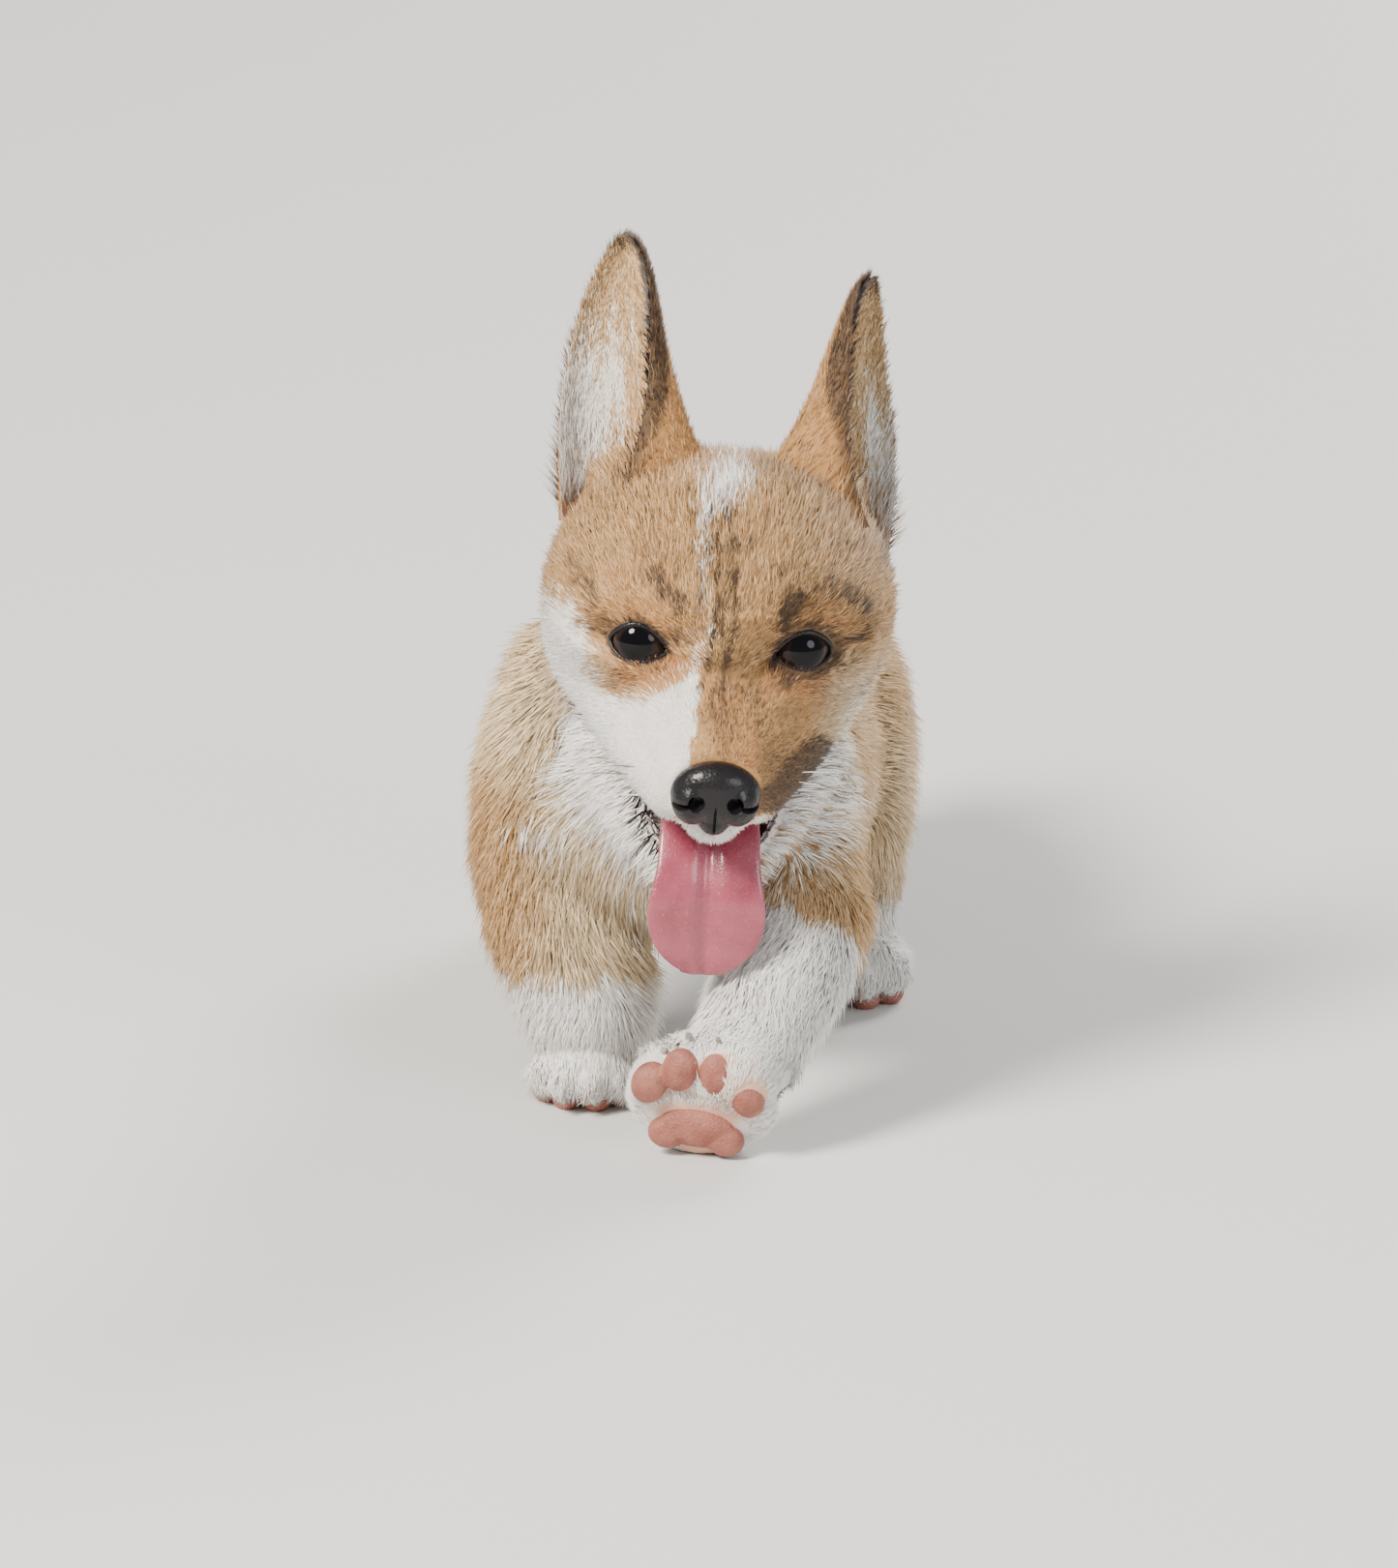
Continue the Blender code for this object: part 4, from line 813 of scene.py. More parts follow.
def mouth_share(points, normals):
    """1 on the wet linings of the mouth, 0 on the coat."""
    q, n = HEAD.local(points), normals @ HEAD.turn
    x, y, z = np.abs(q[:, 0]), q[:, 1], q[:, 2]
    lip_z = np.interp(y, LIP_LINE_Y, LIP_LINE_Z)
    edge_z = np.interp(y, JAW_EDGE_Y, JAW_EDGE_Z)
    upper = (n[:, 2] < -0.5) & (np.abs(z - lip_z) < 2.0)
    palate = np.linalg.norm((q - (0, -14, -40)) / (14, 24, 9), axis=1) < 1.2
    floor = (q - (0, -10, -46)) @ turn_x(16)
    floor = (np.linalg.norm(floor / (17, 24, 9), axis=1) < 1.2) & (n[:, 2] > -0.3)
    rim = (n[:, 2] > 0.55) & (z > edge_z - 2.5) & (z < lip_z - 1.0)
    near = (y < MOUTH_CORNER_Y + 1) & (y > -50) & (z > -66) & (x < 40)
    rim &= x < np.interp(y, (-27, -20, -8, 4, 16), (16, 22, 30, 37, 39)) - 7.0
    band = (np.abs(z - lip_z - 0.2) < 1.2) & (x > 6) & (n[:, 2] < 0.4) & (y < -2)
    return (near & (upper | palate | floor | rim | band)).astype(float)


def unwrap(piece):
    """Lays the piece's own surface out flat in a map named OFBake."""
    mesh = piece.data
    while mesh.uv_layers:
        mesh.uv_layers.remove(mesh.uv_layers[0])
    mesh.uv_layers.new(name="OFBake")
    for other in bpy.context.selected_objects:
        other.select_set(False)
    bpy.context.view_layer.objects.active = piece
    piece.select_set(True)
    bpy.ops.object.mode_set(mode="EDIT")
    bpy.ops.mesh.select_all(action="SELECT")
    bpy.ops.uv.smart_project(angle_limit=math.radians(66), island_margin=0.002)
    bpy.ops.object.mode_set(mode="OBJECT")
    piece.select_set(False)


# The coat


def cell_middles(points, size, seed):
    """The nearest of a jittered grid's points to each point, which the tips of one lock draw towards."""
    base = np.floor(points / size)
    best = np.full(len(points), np.inf)
    middles = points.copy()
    for corner in np.ndindex(3, 3, 3):
        cell = base + np.array(corner) - 1
        keys = np.stack([cell @ np.array(k) for k in ((12.9898, 78.233, 37.719), (39.346, 11.135, 83.155),
                                                     (73.156, 52.235, 9.151))], -1)
        jitter = np.abs(np.sin(keys + seed) * 43758.5453) % 1
        middle = (cell + jitter) * size
        distance = ((middle - points) ** 2).sum(1)
        nearer = distance < best
        best = np.where(nearer, distance, best)
        middles = np.where(nearer[:, None], middle, middles)
    return middles


def scattered(points, normals, uvs, corners, loops, weights, count, chance):
    """Random places on triangles, by weight, with their normals and map coordinates."""
    total = np.cumsum(weights)
    picks = (np.arange(count) + chance.random(count)) / count * total[-1]
    pick = np.minimum(np.searchsorted(total, picks), len(weights) - 1)
    a, b = chance.random(count), chance.random(count)
    over = a + b > 1
    a, b = np.where(over, 1 - a, a), np.where(over, 1 - b, b)
    share = np.stack([1 - a - b, a, b], -1)[..., None]
    return ((points[corners[pick]] * share).sum(1), unit((normals[corners[pick]] * share).sum(1)),
            (uvs[loops[pick]] * share).sum(1))


def tuft_piece(name, roots, normals, ways, lengths, lifts, widths, marks, uvs, clumping, cell, bends, chance):
    """Closed tapered tufts that leave the skin at their lift and settle along the lie of the coat.

    A bent tuft runs root point -> three-sided ring -> tip: ring = root + 0.42 L (cos a way + sin a normal), and
    the tip goes on with a smaller angle, drawn towards the middle of its lock. A straight one is a spike.
    """
    count = len(roots)
    flat = unit(ways - (ways * normals).sum(1, keepdims=True) * normals)
    side = np.cross(flat, normals)
    flat = unit(flat + side * chance.normal(0, 0.16, count)[:, None])
    side = np.cross(flat, normals)
    first = (lifts + chance.normal(0.10, 0.10, count))[:, None]
    last = (lifts + chance.normal(-0.10, 0.14, count))[:, None]
    pull = (cell_middles(roots, cell, 1.7) - roots) * clumping
    pull = pull - (pull * normals).sum(1, keepdims=True) * normals
    length = (lengths * chance.uniform(0.72, 1.22, count))[:, None]
    base = roots - normals * (0.25 + 0.05 * lengths[:, None])
    start = np.cos(first) * flat + np.sin(first) * normals
    middle = base + start * length * 0.42 + pull * 0.35
    tip = middle + (np.cos(last) * flat + np.sin(last) * normals) * length * 0.58 + pull * 0.65
    lift_axis = np.cross(side, start)
    angles = np.radians([90, 210, 330])
    ring = np.stack([side * c + lift_axis * (0.75 * s) for c, s in zip(np.cos(angles), np.sin(angles))], 1)
    ring = ring * (widths / 2)[:, None, None]
    if bends:
        points = np.concatenate([base[:, None], middle[:, None] + ring, tip[:, None]], 1)
        faces = [(1, 2, 0), (2, 3, 0), (3, 1, 0), (2, 1, 4), (3, 2, 4), (1, 3, 4)]
        along = [0.0, 0.45, 0.45, 0.45, 1.0]
        patch = [(-0.0015, 0.0), (-0.0003, 0.0005), (-0.0001, 0.0), (-0.0003, -0.0005), (0.0015, 0.0)]
    else:
        points = np.concatenate([base[:, None] + ring, tip[:, None]], 1)
        faces = [(0, 1, 2), (1, 0, 3), (2, 1, 3), (0, 2, 3)]
        along = [0.0, 0.0, 0.0, 1.0]
        patch = [(-0.0015, 0.0006), (-0.0011, 0.0), (-0.0015, -0.0006), (0.0015, 0.0)]
    points[..., 2] = np.maximum(points[..., 2], 0.25)
    leaning = unit(points - points.mean(1, keepdims=True) + normals[:, None] * lengths[:, None, None])
    each, faces = points.shape[1], np.array(faces)
    triangles = (faces[None] + (np.arange(count) * each)[:, None, None]).reshape(-1, 3)
    piece = new_piece(name, points.reshape(-1, 3), triangles, outward=False)
    mesh = piece.data
    hair = np.stack([np.broadcast_to(along, (count, each)), np.repeat(chance.random(count)[:, None], each, 1),
                     np.repeat(chance.random(count)[:, None], each, 1)], -1)
    write_marks(mesh, "hair", hair.reshape(-1, 3))
    write_marks(mesh, "marks", np.repeat(marks, each, 0))
    layer = mesh.uv_layers.new(name="OFBake")
    corner_uv = (np.clip(uvs, 0.002, 0.998)[:, None, None] + np.array(patch)[faces][None]).reshape(-1, 2)
    layer.data.foreach_set("uv", corner_uv.astype(np.float32).ravel())
    lean = 0.70 if bends else 0.56
    soft = unit(lean * leaning.reshape(-1, 3) + (1 - lean) * normal_array(mesh))
    mesh.normals_split_custom_set_from_vertices(soft.astype(np.float32))
    return piece


def bare_share(points, normals, radius):
    """Where no hair grows: nose, eyes, linings of the mouth, pads and the faces of the feet on the floor."""
    q = HEAD.local(points)
    bare = mouth_share(points, normals) > 0.5
    bare |= np.linalg.norm((q - np.array(NOSE)) / (NOSE_RADII[0] - 0.6, NOSE_RADII[1] + 1.0, NOSE_RADII[2] - 0.6),
                           axis=1) < 1
    for side in (-1, 1):
        local, distance, almond = eye_almond(points, side, radius)
        bare |= (almond < np.where(local[:, 2] < 0, 1.20, 1.10)) & (distance < 11.5)
    for _, place, spread in PAWS:
        p = place.local(points)
        low = p[:, 2] < (2.2 if place.turn[2, 2] > 0.9 else 7.0)
        for x, y, _, forward in toe_places(spread):
            pad = np.array([x, y, 4.0]) + forward * 1.6
            bare |= (np.linalg.norm((p - pad) / (5.3, 6.7, 5.4), axis=1) < 1) & low
        bare |= (np.linalg.norm((p - (0, 8.4, 4.0)) / (12.0 * spread, 7.4, 5.4), axis=1) < 1) & low
    bare |= points[:, 2] < 1.2
    return bare


class SkinSource:
    """The skin's arrays, kept once for all the pieces of the coat."""

    def __init__(self, skin, radius):
        mesh = skin.data
        self.points = vertex_array(mesh)
        self.normals = normal_array(mesh)
        self.corners, self.loops = triangle_arrays(mesh)
        self.uvs = np.empty(len(mesh.loops) * 2)
        mesh.uv_layers["OFBake"].data.foreach_get("uv", self.uvs)
        self.uvs = self.uvs.reshape(-1, 2)
        a, b, c = (self.points[self.corners[:, k]] for k in range(3))
        cross = np.cross(b - a, c - a)
        self.areas = np.linalg.norm(cross, axis=1) / 2
        self.middles = (a + b + c) / 3
        self.bare = bare_share(self.middles, unit(cross), radius)
        self.head = in_ball(HEAD.local(self.middles), (0, 12, -16), (62, 66, 64), 0.05) > 0.5

    def roots(self, weights, count, chance):
        return scattered(self.points, self.normals, self.uvs, self.corners, self.loops, weights, count, chance)


BODY_COAT = (
    ("coat_neck", lambda p: (p[:, 1] < 60) & (p[:, 2] >= 104)),
    ("coat_chest_and_right_arm", lambda p: (p[:, 1] < 60) & (p[:, 2] < 104) & (p[:, 0] < -6)),
    ("coat_left_arm", lambda p: (p[:, 1] < 60) & (p[:, 2] < 104) & (p[:, 0] >= -6)),
    ("coat_right_flank", lambda p: (p[:, 1] >= 60) & (p[:, 1] < 150) & (p[:, 0] < -9)),
    ("coat_left_flank", lambda p: (p[:, 1] >= 60) & (p[:, 1] < 150) & (p[:, 0] >= -9)),
    ("coat_rump", lambda p: p[:, 1] >= 150),
)
COAT_PIECE_LIMIT = 32500


def body_coat(source, settings, scale, finish):
    """Bent tufts on neck, trunk, tail and legs, shorter and finer towards the feet."""
    chance = np.random.default_rng(11)
    middles = source.middles
    _, length, _ = comb(middles)
    dense = (2.2 - 0.09 * length) * (1 + 0.5 * smooth_step(50, 10, middles[:, 1]))
    weights = source.areas * np.clip(dense, 0.6, 3) * ~source.bare * ~source.head
    count = int(settings.body_tufts * scale)
    shares = [(weights * zone(middles)).sum() for _, zone in BODY_COAT]
    for (name, zone), share in zip(BODY_COAT, shares):
        number = min(int(count * share / sum(shares)), COAT_PIECE_LIMIT)
        roots, normals, uvs = source.roots(weights * zone(middles), number, chance)
        ways, length, lift = comb(roots)
        length = length * settings.length
        swirl = wave(roots, 22.0, 8)[:, None] * np.cross(ways, normals) * 0.28
        widths = settings.width / MM * (0.42 + 0.036 * length) * chance.uniform(0.75, 1.25, number)
        piece = tuft_piece(name, roots, normals, ways + swirl, length, lift, widths, markings(roots), uvs,
                           settings.clumping * 0.65, 5.0, True, chance)
        place_piece(piece, finish, "tan_coat")


HEAD_COAT = (
    ("coat_face_right", lambda q: (q[:, 1] < 14) & (q[:, 0] < 0)),
    ("coat_face_left", lambda q: (q[:, 1] < 14) & (q[:, 0] >= 0)),
    ("coat_skull", lambda q: q[:, 1] >= 14),
)


def head_coat(source, settings, scale, finish):
    """Short straight tufts over the head, and bent longer ones on cheeks and skull."""
    chance = np.random.default_rng(12)
    q = HEAD.local(source.middles)
    _, length, _ = comb(source.middles)
    dense = np.clip(3.4 - 0.34 * length, 0.75, 3)
    weights = source.areas * dense * ~source.bare * source.head
    count = int(settings.face_tufts * scale)
    total = weights.sum()
    for name, zone in HEAD_COAT:
        here = weights * zone(q)
        number = min(int(count * here.sum() / total), 48000)
        roots, normals, uvs = source.roots(here, number, chance)
        ways, length, lift = comb(roots)
        length = length * settings.length
        swirl = wave(roots, 9.0, 9)[:, None] * np.cross(ways, normals) * 0.2
        widths = (0.33 + 0.035 * length) * chance.uniform(0.75, 1.3, number)
        piece = tuft_piece(name, roots, normals, ways + swirl, length, lift, widths, markings(roots), uvs,
                           settings.clumping * 0.8, 2.6, False, chance)
        place_piece(piece, finish, "tan_coat")
    long_weights = weights * smooth_step(4.5, 7, comb(source.middles)[1])
    number = int(20000 * scale)
    roots, normals, uvs = source.roots(long_weights, number, chance)
    ways, length, lift = comb(roots)
    widths = (0.34 + 0.02 * length) * chance.uniform(0.8, 1.25, number)
    piece = tuft_piece("coat_cheeks", roots, normals, ways, length * 1.1, lift, widths, markings(roots), uvs,
                       settings.clumping, 4.0, True, chance)
    place_piece(piece, finish, "tan_coat")


# The ears


class Ear:
    """A cupped ear whose wall is an arc that narrows to a rounded tip.

    At height t the arc is (w sin a, d cos a, h t), with w the half-width, d the cup's depth and a from minus to
    plus the spread, which shrinks from root to tip. Towards the root its front edge curls on round, so that the
    back of the ear bulges past it. The ear is leaned, laid back and turned outward.
    """

    def __init__(self, word, side, base, length, half, turns, curl, bow, wider):
        self.word, self.side, self.base, self.length, self.half = word, side, np.array(base, float), length, half
        self.curl, self.bow, self.wider = math.radians(curl), bow, wider
        lean, back, opening = turns
        self.turn = turn_y(side * lean) @ turn_x(-back) @ turn_z(side * opening)

    def at(self, t, s, inset):
        """Points at heights t and shares s from -1 to 1 across the arc, moved in from the outer face."""
        side = self.side
        medial, lateral = np.clip(-side * s, 0, 1), np.clip(side * s, 0, 1)
        half = np.maximum(self.half * (1 - t**2.6) ** 0.56, 1.6) * (1 + self.wider * lateral * np.sin(math.pi * t))
        spread = math.radians(112) - math.radians(44) * t
        angle = spread * s - side * self.curl * (1 - t) ** 1.3 * medial**2
        depth = 0.9 * half * (1 - 0.3 * t)
        sway = side * self.bow * np.sin(math.pi * t**1.15)
        x = (half - inset * 0.5) * np.sin(angle) / np.sin(np.minimum(spread, math.pi / 2)) + sway
        y = (depth - inset) * np.cos(angle) - 0.25 * depth - 5.0 * t**2
        z = t * self.length - inset * 0.4 * t - 14.0 * (1 - t) ** 2
        spot = np.stack([x, y, z + 0 * x], -1) @ self.turn.T + self.base
        flare = (25.0 * (1 - t) ** 3 * np.clip(-side * np.sin(angle), 0, 1) ** 1.5)[..., None]
        return HEAD.at(spot + flare * np.array([-side, 0.3, -0.35]))

    def wall(self, t):
        return 1.9 * (1 - 0.4 * t)


def ear_marks(t, s, inner, side):
    """Tan outside with a dark front edge, and white inside that turns tan towards the front edge and the tip."""
    medial = -side * s
    low = 0.87 - 0.32 * smooth_step(0.20, 0.68, t)
    line = smooth_step(low, low + 0.16, medial)
    seen = -0.3 + 0.7 * t if side < 0 else -0.6 + 0.4 * t
    uneven = 0.05 * np.sin(17 * s + 9 * t) + 0.04 * np.sin(31 * s)
    front, high = smooth_step(seen - 0.5, seen, medial + uneven), smooth_step(0.30, 0.85, t + uneven)
    tip = smooth_step(0.86, 0.97, t)
    white = np.where(inner, 0.80 * (1 - high) * (1 - 0.85 * front), 0)
    sable = np.where(inner, 0.10 + 0.20 * front * (1 - t), 0.08 + 0.30 * smooth_step(0.20, 0.05, t) * (medial > 0.2))
    sable = np.maximum(sable, np.maximum(0.95 * line, 0.78 * tip)) + 0 * s
    cream = np.where(inner, 0.85 - 0.5 * np.maximum(high, front), 0.15)
    rufous = np.where(inner, 0.1 + 0.3 * front, 0.5)
    return np.stack([white + 0 * s, sable, cream + 0 * s, rufous + 0 * s], -1)


def ear_piece(ear, rows=56, columns=40):
    """The ear's two faces and its rolled edge as one closed wall."""
    t = np.sin(np.linspace(0, 0.5, rows) * math.pi)[:, None] + np.zeros((1, columns))
    s = np.linspace(-1, 1, columns)[None] + np.zeros((rows, 1))
    wall = ear.wall(t)
    around = np.stack([ear.at(t, s, 0.0), ear.at(t, s, wall)])
    edge_right = ear.at(t[:, -1], s[:, -1] * 1.012, wall[:, 0] / 2)
    edge_left = ear.at(t[:, 0], s[:, 0] * 1.012, wall[:, 0] / 2)
    loop = np.concatenate([around[0], edge_right[:, None], around[1][:, ::-1], edge_left[:, None]], 1)
    ring_s = np.concatenate([s, s[:, -1:], s[:, ::-1], s[:, :1]], 1)
    inner = np.concatenate([np.zeros((rows, columns + 1), bool), np.ones((rows, columns), bool),
                            np.zeros((rows, 1), bool)], 1)
    ring_t = np.concatenate([t, t[:, :1], t, t[:, :1]], 1)
    points, triangles = closed_rings(loop, loop[0].mean(0)[None], loop[-1].mean(0)[None])
    piece = new_piece("ear_" + ear.word + "_skin", points, triangles)
    marks = ear_marks(ring_t, ring_s, inner, ear.side).reshape(-1, 4)
    marks = np.vstack([marks, marks[:1], marks[-1:]])
    hollow = inner * (0.36 + 0.64 * smooth_step(0.42, 0.10, ring_t) * smooth_step(0.3, -0.3, -ear.side * ring_s))
    flesh = np.concatenate([hollow.ravel(), [0.0, 0.0]])
    write_marks(piece.data, "marks", marks)
    write_marks(piece.data, "hair", np.stack([0 * flesh, 0.5 + 0 * flesh, 0.6 * flesh], -1))
    return piece


def ear_coat(ear, settings, scale, finish):
    """Short hair over the back of the ear, a fringe on its edges and pale long hair in its cup."""
    chance = np.random.default_rng(21 + ear.side)
    count = int(settings.ear_tufts * scale)
    inside = int(9000 * scale)
    step = 0.01

    def sown(number, inner, lowest):
        t = lowest + (0.985 - lowest) * chance.random(number) ** (0.78 if inner else 0.9)
        s = chance.uniform(-1, 1, number)
        inset = ear.wall(t) * inner
        here = ear.at(t, s, inset)
        up = unit(ear.at(np.minimum(t + step, 1), s, inset) - here)
        across = unit(ear.at(t, s + step, inset) - here)
        normal = unit(np.cross(across, up))
        outer = unit(ear.at(t, s, 0.0) - ear.at(t, s, ear.wall(t)))
        normal = normal * np.sign((normal * outer).sum(1, keepdims=True)) * (-1 if inner else 1)
        uv = np.stack([0.02 + 0.46 * (s + 1) / 2 + 0.5 * inner, 0.02 + 0.96 * t], -1)
        return t, s, here, up, across, normal, uv

    t, s, here, up, across, normal, uv = sown(count, 0, 0.0)
    length = 3.6 + 1.4 * smooth_step(0.8, 1, np.abs(s)) + 5.0 * smooth_step(0.3, 0.0, t)
    way = up + across * (0.4 * s)[:, None]
    piece = tuft_piece(f"coat_ear_{ear.word}_back", here, normal, way, length, np.full(count, 0.42),
                       chance.uniform(0.34, 0.5, count), ear_marks(t, s, False, ear.side), uv, 0.4, 2.4, False, chance)
    place_piece(piece, finish, "tan_coat")

    t, s, here, up, across, normal, uv = sown(inside, 1, 0.0)
    rim = smooth_step(0.6, 1, np.abs(s))
    length = 3.4 + 2.2 * rim * (1 - 0.7 * t) + 5.0 * smooth_step(0.4, 0.0, t)
    way = up + across * (0.5 * np.sign(s) * rim)[:, None]
    piece = tuft_piece(f"coat_ear_{ear.word}_cup", here, normal, way, length, 0.26 + 0.1 * rim,
                       chance.uniform(0.34, 0.48, inside), ear_marks(t, s, True, ear.side), uv, 0.45, 3.0, True,
                       chance)
    place_piece(piece, finish, "tan_coat")


# Eyes, nose, mouth and feet


def eyeball(side, radius):
    """A sphere whose cornea swells forward: r (1 + 0.07 bell(angle from the line of sight))."""
    rings, sides = 40, 48
    a = np.linspace(0, np.pi, rings + 2)[1:-1, None]
    b = np.linspace(0, 2 * np.pi, sides, endpoint=False)[None]
    r = radius * (1 + 0.07 * np.exp(-((a / 0.75) ** 4)))
    shape = np.stack([r * np.sin(a) * np.cos(b), -r * np.cos(a) + 0 * b, r * np.sin(a) * np.sin(b)], -1)
    points, triangles = closed_rings(shape, [[0, -radius * 1.07, 0]], [[0, radius, 0]])
    gaze = np.concatenate([np.repeat(a.ravel(), sides), [0.0, np.pi]])
    place = Place(HEAD.at((side * EYE[0], EYE[1], EYE[2])), HEAD.turn @ eye_turn(side))
    piece = new_piece("eye_" + ("right" if side < 0 else "left") + "_ball", place.at(points), triangles)
    write_marks(piece.data, "gaze", np.stack([gaze / np.pi, 0 * gaze, 0 * gaze], -1))
    return piece


def ring_tube(path, radii, sides=10):
    """A round tube of changing radius along a closed path."""
    along = unit(np.roll(path, -1, 0) - np.roll(path, 1, 0))
    out = path - path.mean(0)
    side = unit(np.cross(along, out))
    lift = np.cross(side, along)
    turn = np.linspace(0, 2 * np.pi, sides, endpoint=False)
    rings = (path[:, None] + side[:, None] * (radii[:, None] * np.cos(turn))[..., None]
             + lift[:, None] * (radii[:, None] * np.sin(turn))[..., None])
    count = len(path)
    i, j = np.meshgrid(np.arange(count), np.arange(sides), indexing="ij")
    n, k = (i + 1) % count, (j + 1) % sides
    a, b, c, d = i * sides + j, i * sides + k, n * sides + k, n * sides + j
    return rings.reshape(-1, 3), np.stack([a, b, c, a, c, d], -1).reshape(-1, 3)


def lid_rim(side, radius):
    """The black rim of the lids: a tube along the almond on the eyeball, thicker above and at the inner corner."""
    turn = np.linspace(0, 2 * np.pi, 72, endpoint=False)
    wide = np.cos(turn)
    corner = np.clip(-side * wide, 0, 1) ** 8
    x = FISSURE_HALF_WIDTH * 1.05 * wide - side * 0.9 * corner
    z = fissure_height(wide) * 1.05 * np.sin(turn) - CORNER_DROP * np.clip(-side * wide, 0, 1) ** 2
    arc = np.hypot(x, z)
    out = np.sin(arc / radius) / arc
    path = np.stack([x * out, -np.cos(arc / radius), z * out], -1) * (radius + 0.35)
    place = Place(HEAD.at((side * EYE[0], EYE[1], EYE[2])), HEAD.turn @ eye_turn(side))
    return ring_tube(place.at(path), 0.46 + 0.36 * np.clip(np.sin(turn), 0, 1) + 0.35 * corner)


def nose_piece():
    """The nose leather: a rounded block with two comma nostrils and a groove down its middle."""
    x, y, z = NOSE_RADII
    nx, ny, nz = NOSE
    shells = [
        ball(NOSE, (x, y, z), HEAD), ball((nx - 6, ny - 1, nz - 1), (6.5, y, 7.5), HEAD),
        ball((nx + 6, ny - 1, nz - 1), (6.5, y, 7.5), HEAD), ball((nx, ny - 0.5, nz - 7), (5.0, 6.5, 5.5), HEAD),
    ]
    piece = fused("nose_leather", shells, 0.55, 5)
    for side in (-1, 1):
        cut(piece, ball((side * 5.4, ny - 7.6, nz + 2.0), (2.4, 4.4, 2.3), HEAD, turn_y(side * -15)))
        cut(piece, ball((side * 9.6, ny - 5.2, nz + 0.2), (4.2, 4.2, 0.95), HEAD, turn_y(side * 24)))
    cut(piece, ball((0, ny - 9.0, nz - 6), (0.55, 3.4, 8.5), HEAD))
    smooth = piece.modifiers.new("soften", "SMOOTH")
    smooth.factor = 0.4
    smooth.iterations = 2
    settle(piece)
    piece.data.shade_smooth()
    return piece


def hair_shells(starts, ways, lengths, thickness, droop, chance):
    """Long single hairs: a bent tapering four-sided tube from each start."""
    rings, sides = 9, 4
    t = np.linspace(0, 1, rings)
    down = np.array([0, 0, -1.0])
    shells = []
    for start, way, length in zip(starts, unit(ways), lengths):
        bend = down * droop + chance.normal(0, 0.08, 3)
        path = start + way * (length * t)[:, None] + bend * (length * t**2)[:, None]
        size = thickness * (1 - 0.93 * t)
        shells.append(tube(np.column_stack([path, size, size]), WORLD, sides, 1, 0.6, across=(0.3, 0.2, 0.9)))
    return shells


# Finishes


class Wire:
    """A node's socket or a number, with operators that add Math nodes."""

    def __init__(self, finish, socket):
        self.finish, self.socket = finish, socket

    def _do(self, operation, first, second):
        return self.finish.add("ShaderNodeMath", {"operation": operation}, {0: first, 1: second})

    def __add__(self, other):
        return self._do("ADD", self, other)

    def __sub__(self, other):
        return self._do("SUBTRACT", self, other)

    def __rsub__(self, other):
        return self._do("SUBTRACT", other, self)

    def __mul__(self, other):
        return self._do("MULTIPLY", self, other)

    def __pow__(self, other):
        return self._do("POWER", self, other)

    __radd__ = __add__
    __rmul__ = __mul__


class Finish:
    """A material and its nodes, written as expressions."""

    def __init__(self, name, **uniform):
        self.material = bpy.data.materials.new(name)
        self.material.use_nodes = True
        self.tree = self.material.node_tree
        self.shader = self.tree.nodes["Principled BSDF"]
        for socket, value in uniform.items():
            self.shader.inputs[socket.replace("_", " ")].default_value = value

    def add(self, kind, settings=None, sockets=None, output=0):
        """One node: its settings first, then its sockets' values or wires."""
        node = self.tree.nodes.new(kind)
        for key, value in (settings or {}).items():
            setattr(node, key, value)
        for key, value in (sockets or {}).items():
            if isinstance(value, Wire):
                self.tree.links.new(value.socket, node.inputs[key])
            else:
                node.inputs[key].default_value = value
        return Wire(self, node.outputs[output])

    def mark(self, name, output):
        return self.add("ShaderNodeAttribute", {"attribute_name": name}, output=output)

    def parts(self, wire):
        """A vector's three numbers."""
        node = self.tree.nodes.new("ShaderNodeSeparateXYZ")
        self.tree.links.new(wire.socket, node.inputs[0])
        return [Wire(self, out) for out in node.outputs]

    def mix(self, share, first, second, blend="MIX"):
        colour = lambda c: c if isinstance(c, Wire) else (*c, 1.0)
        return self.add("ShaderNodeMix", {"data_type": "RGBA", "blend_type": blend},
                        {0: share, 6: colour(first), 7: colour(second)}, 2)

    def noise(self, scale, detail=3.0):
        where = self.add("ShaderNodeTexCoord", output=3)
        return self.add("ShaderNodeTexNoise", None, {"Vector": where, "Scale": scale, "Detail": detail})

    def range(self, wire, low, high, to_low=0.0, to_high=1.0):
        return self.add("ShaderNodeMapRange", None, {0: wire, 1: low, 2: high, 3: to_low, 4: to_high})

    def bump(self, height, strength, distance):
        return self.add("ShaderNodeBump", None, {"Strength": strength, "Distance": distance, "Height": height})

    def set(self, **wires):
        for socket, wire in wires.items():
            self.tree.links.new(wire.socket, self.shader.inputs[socket.replace("_", " ")])
        return self.material


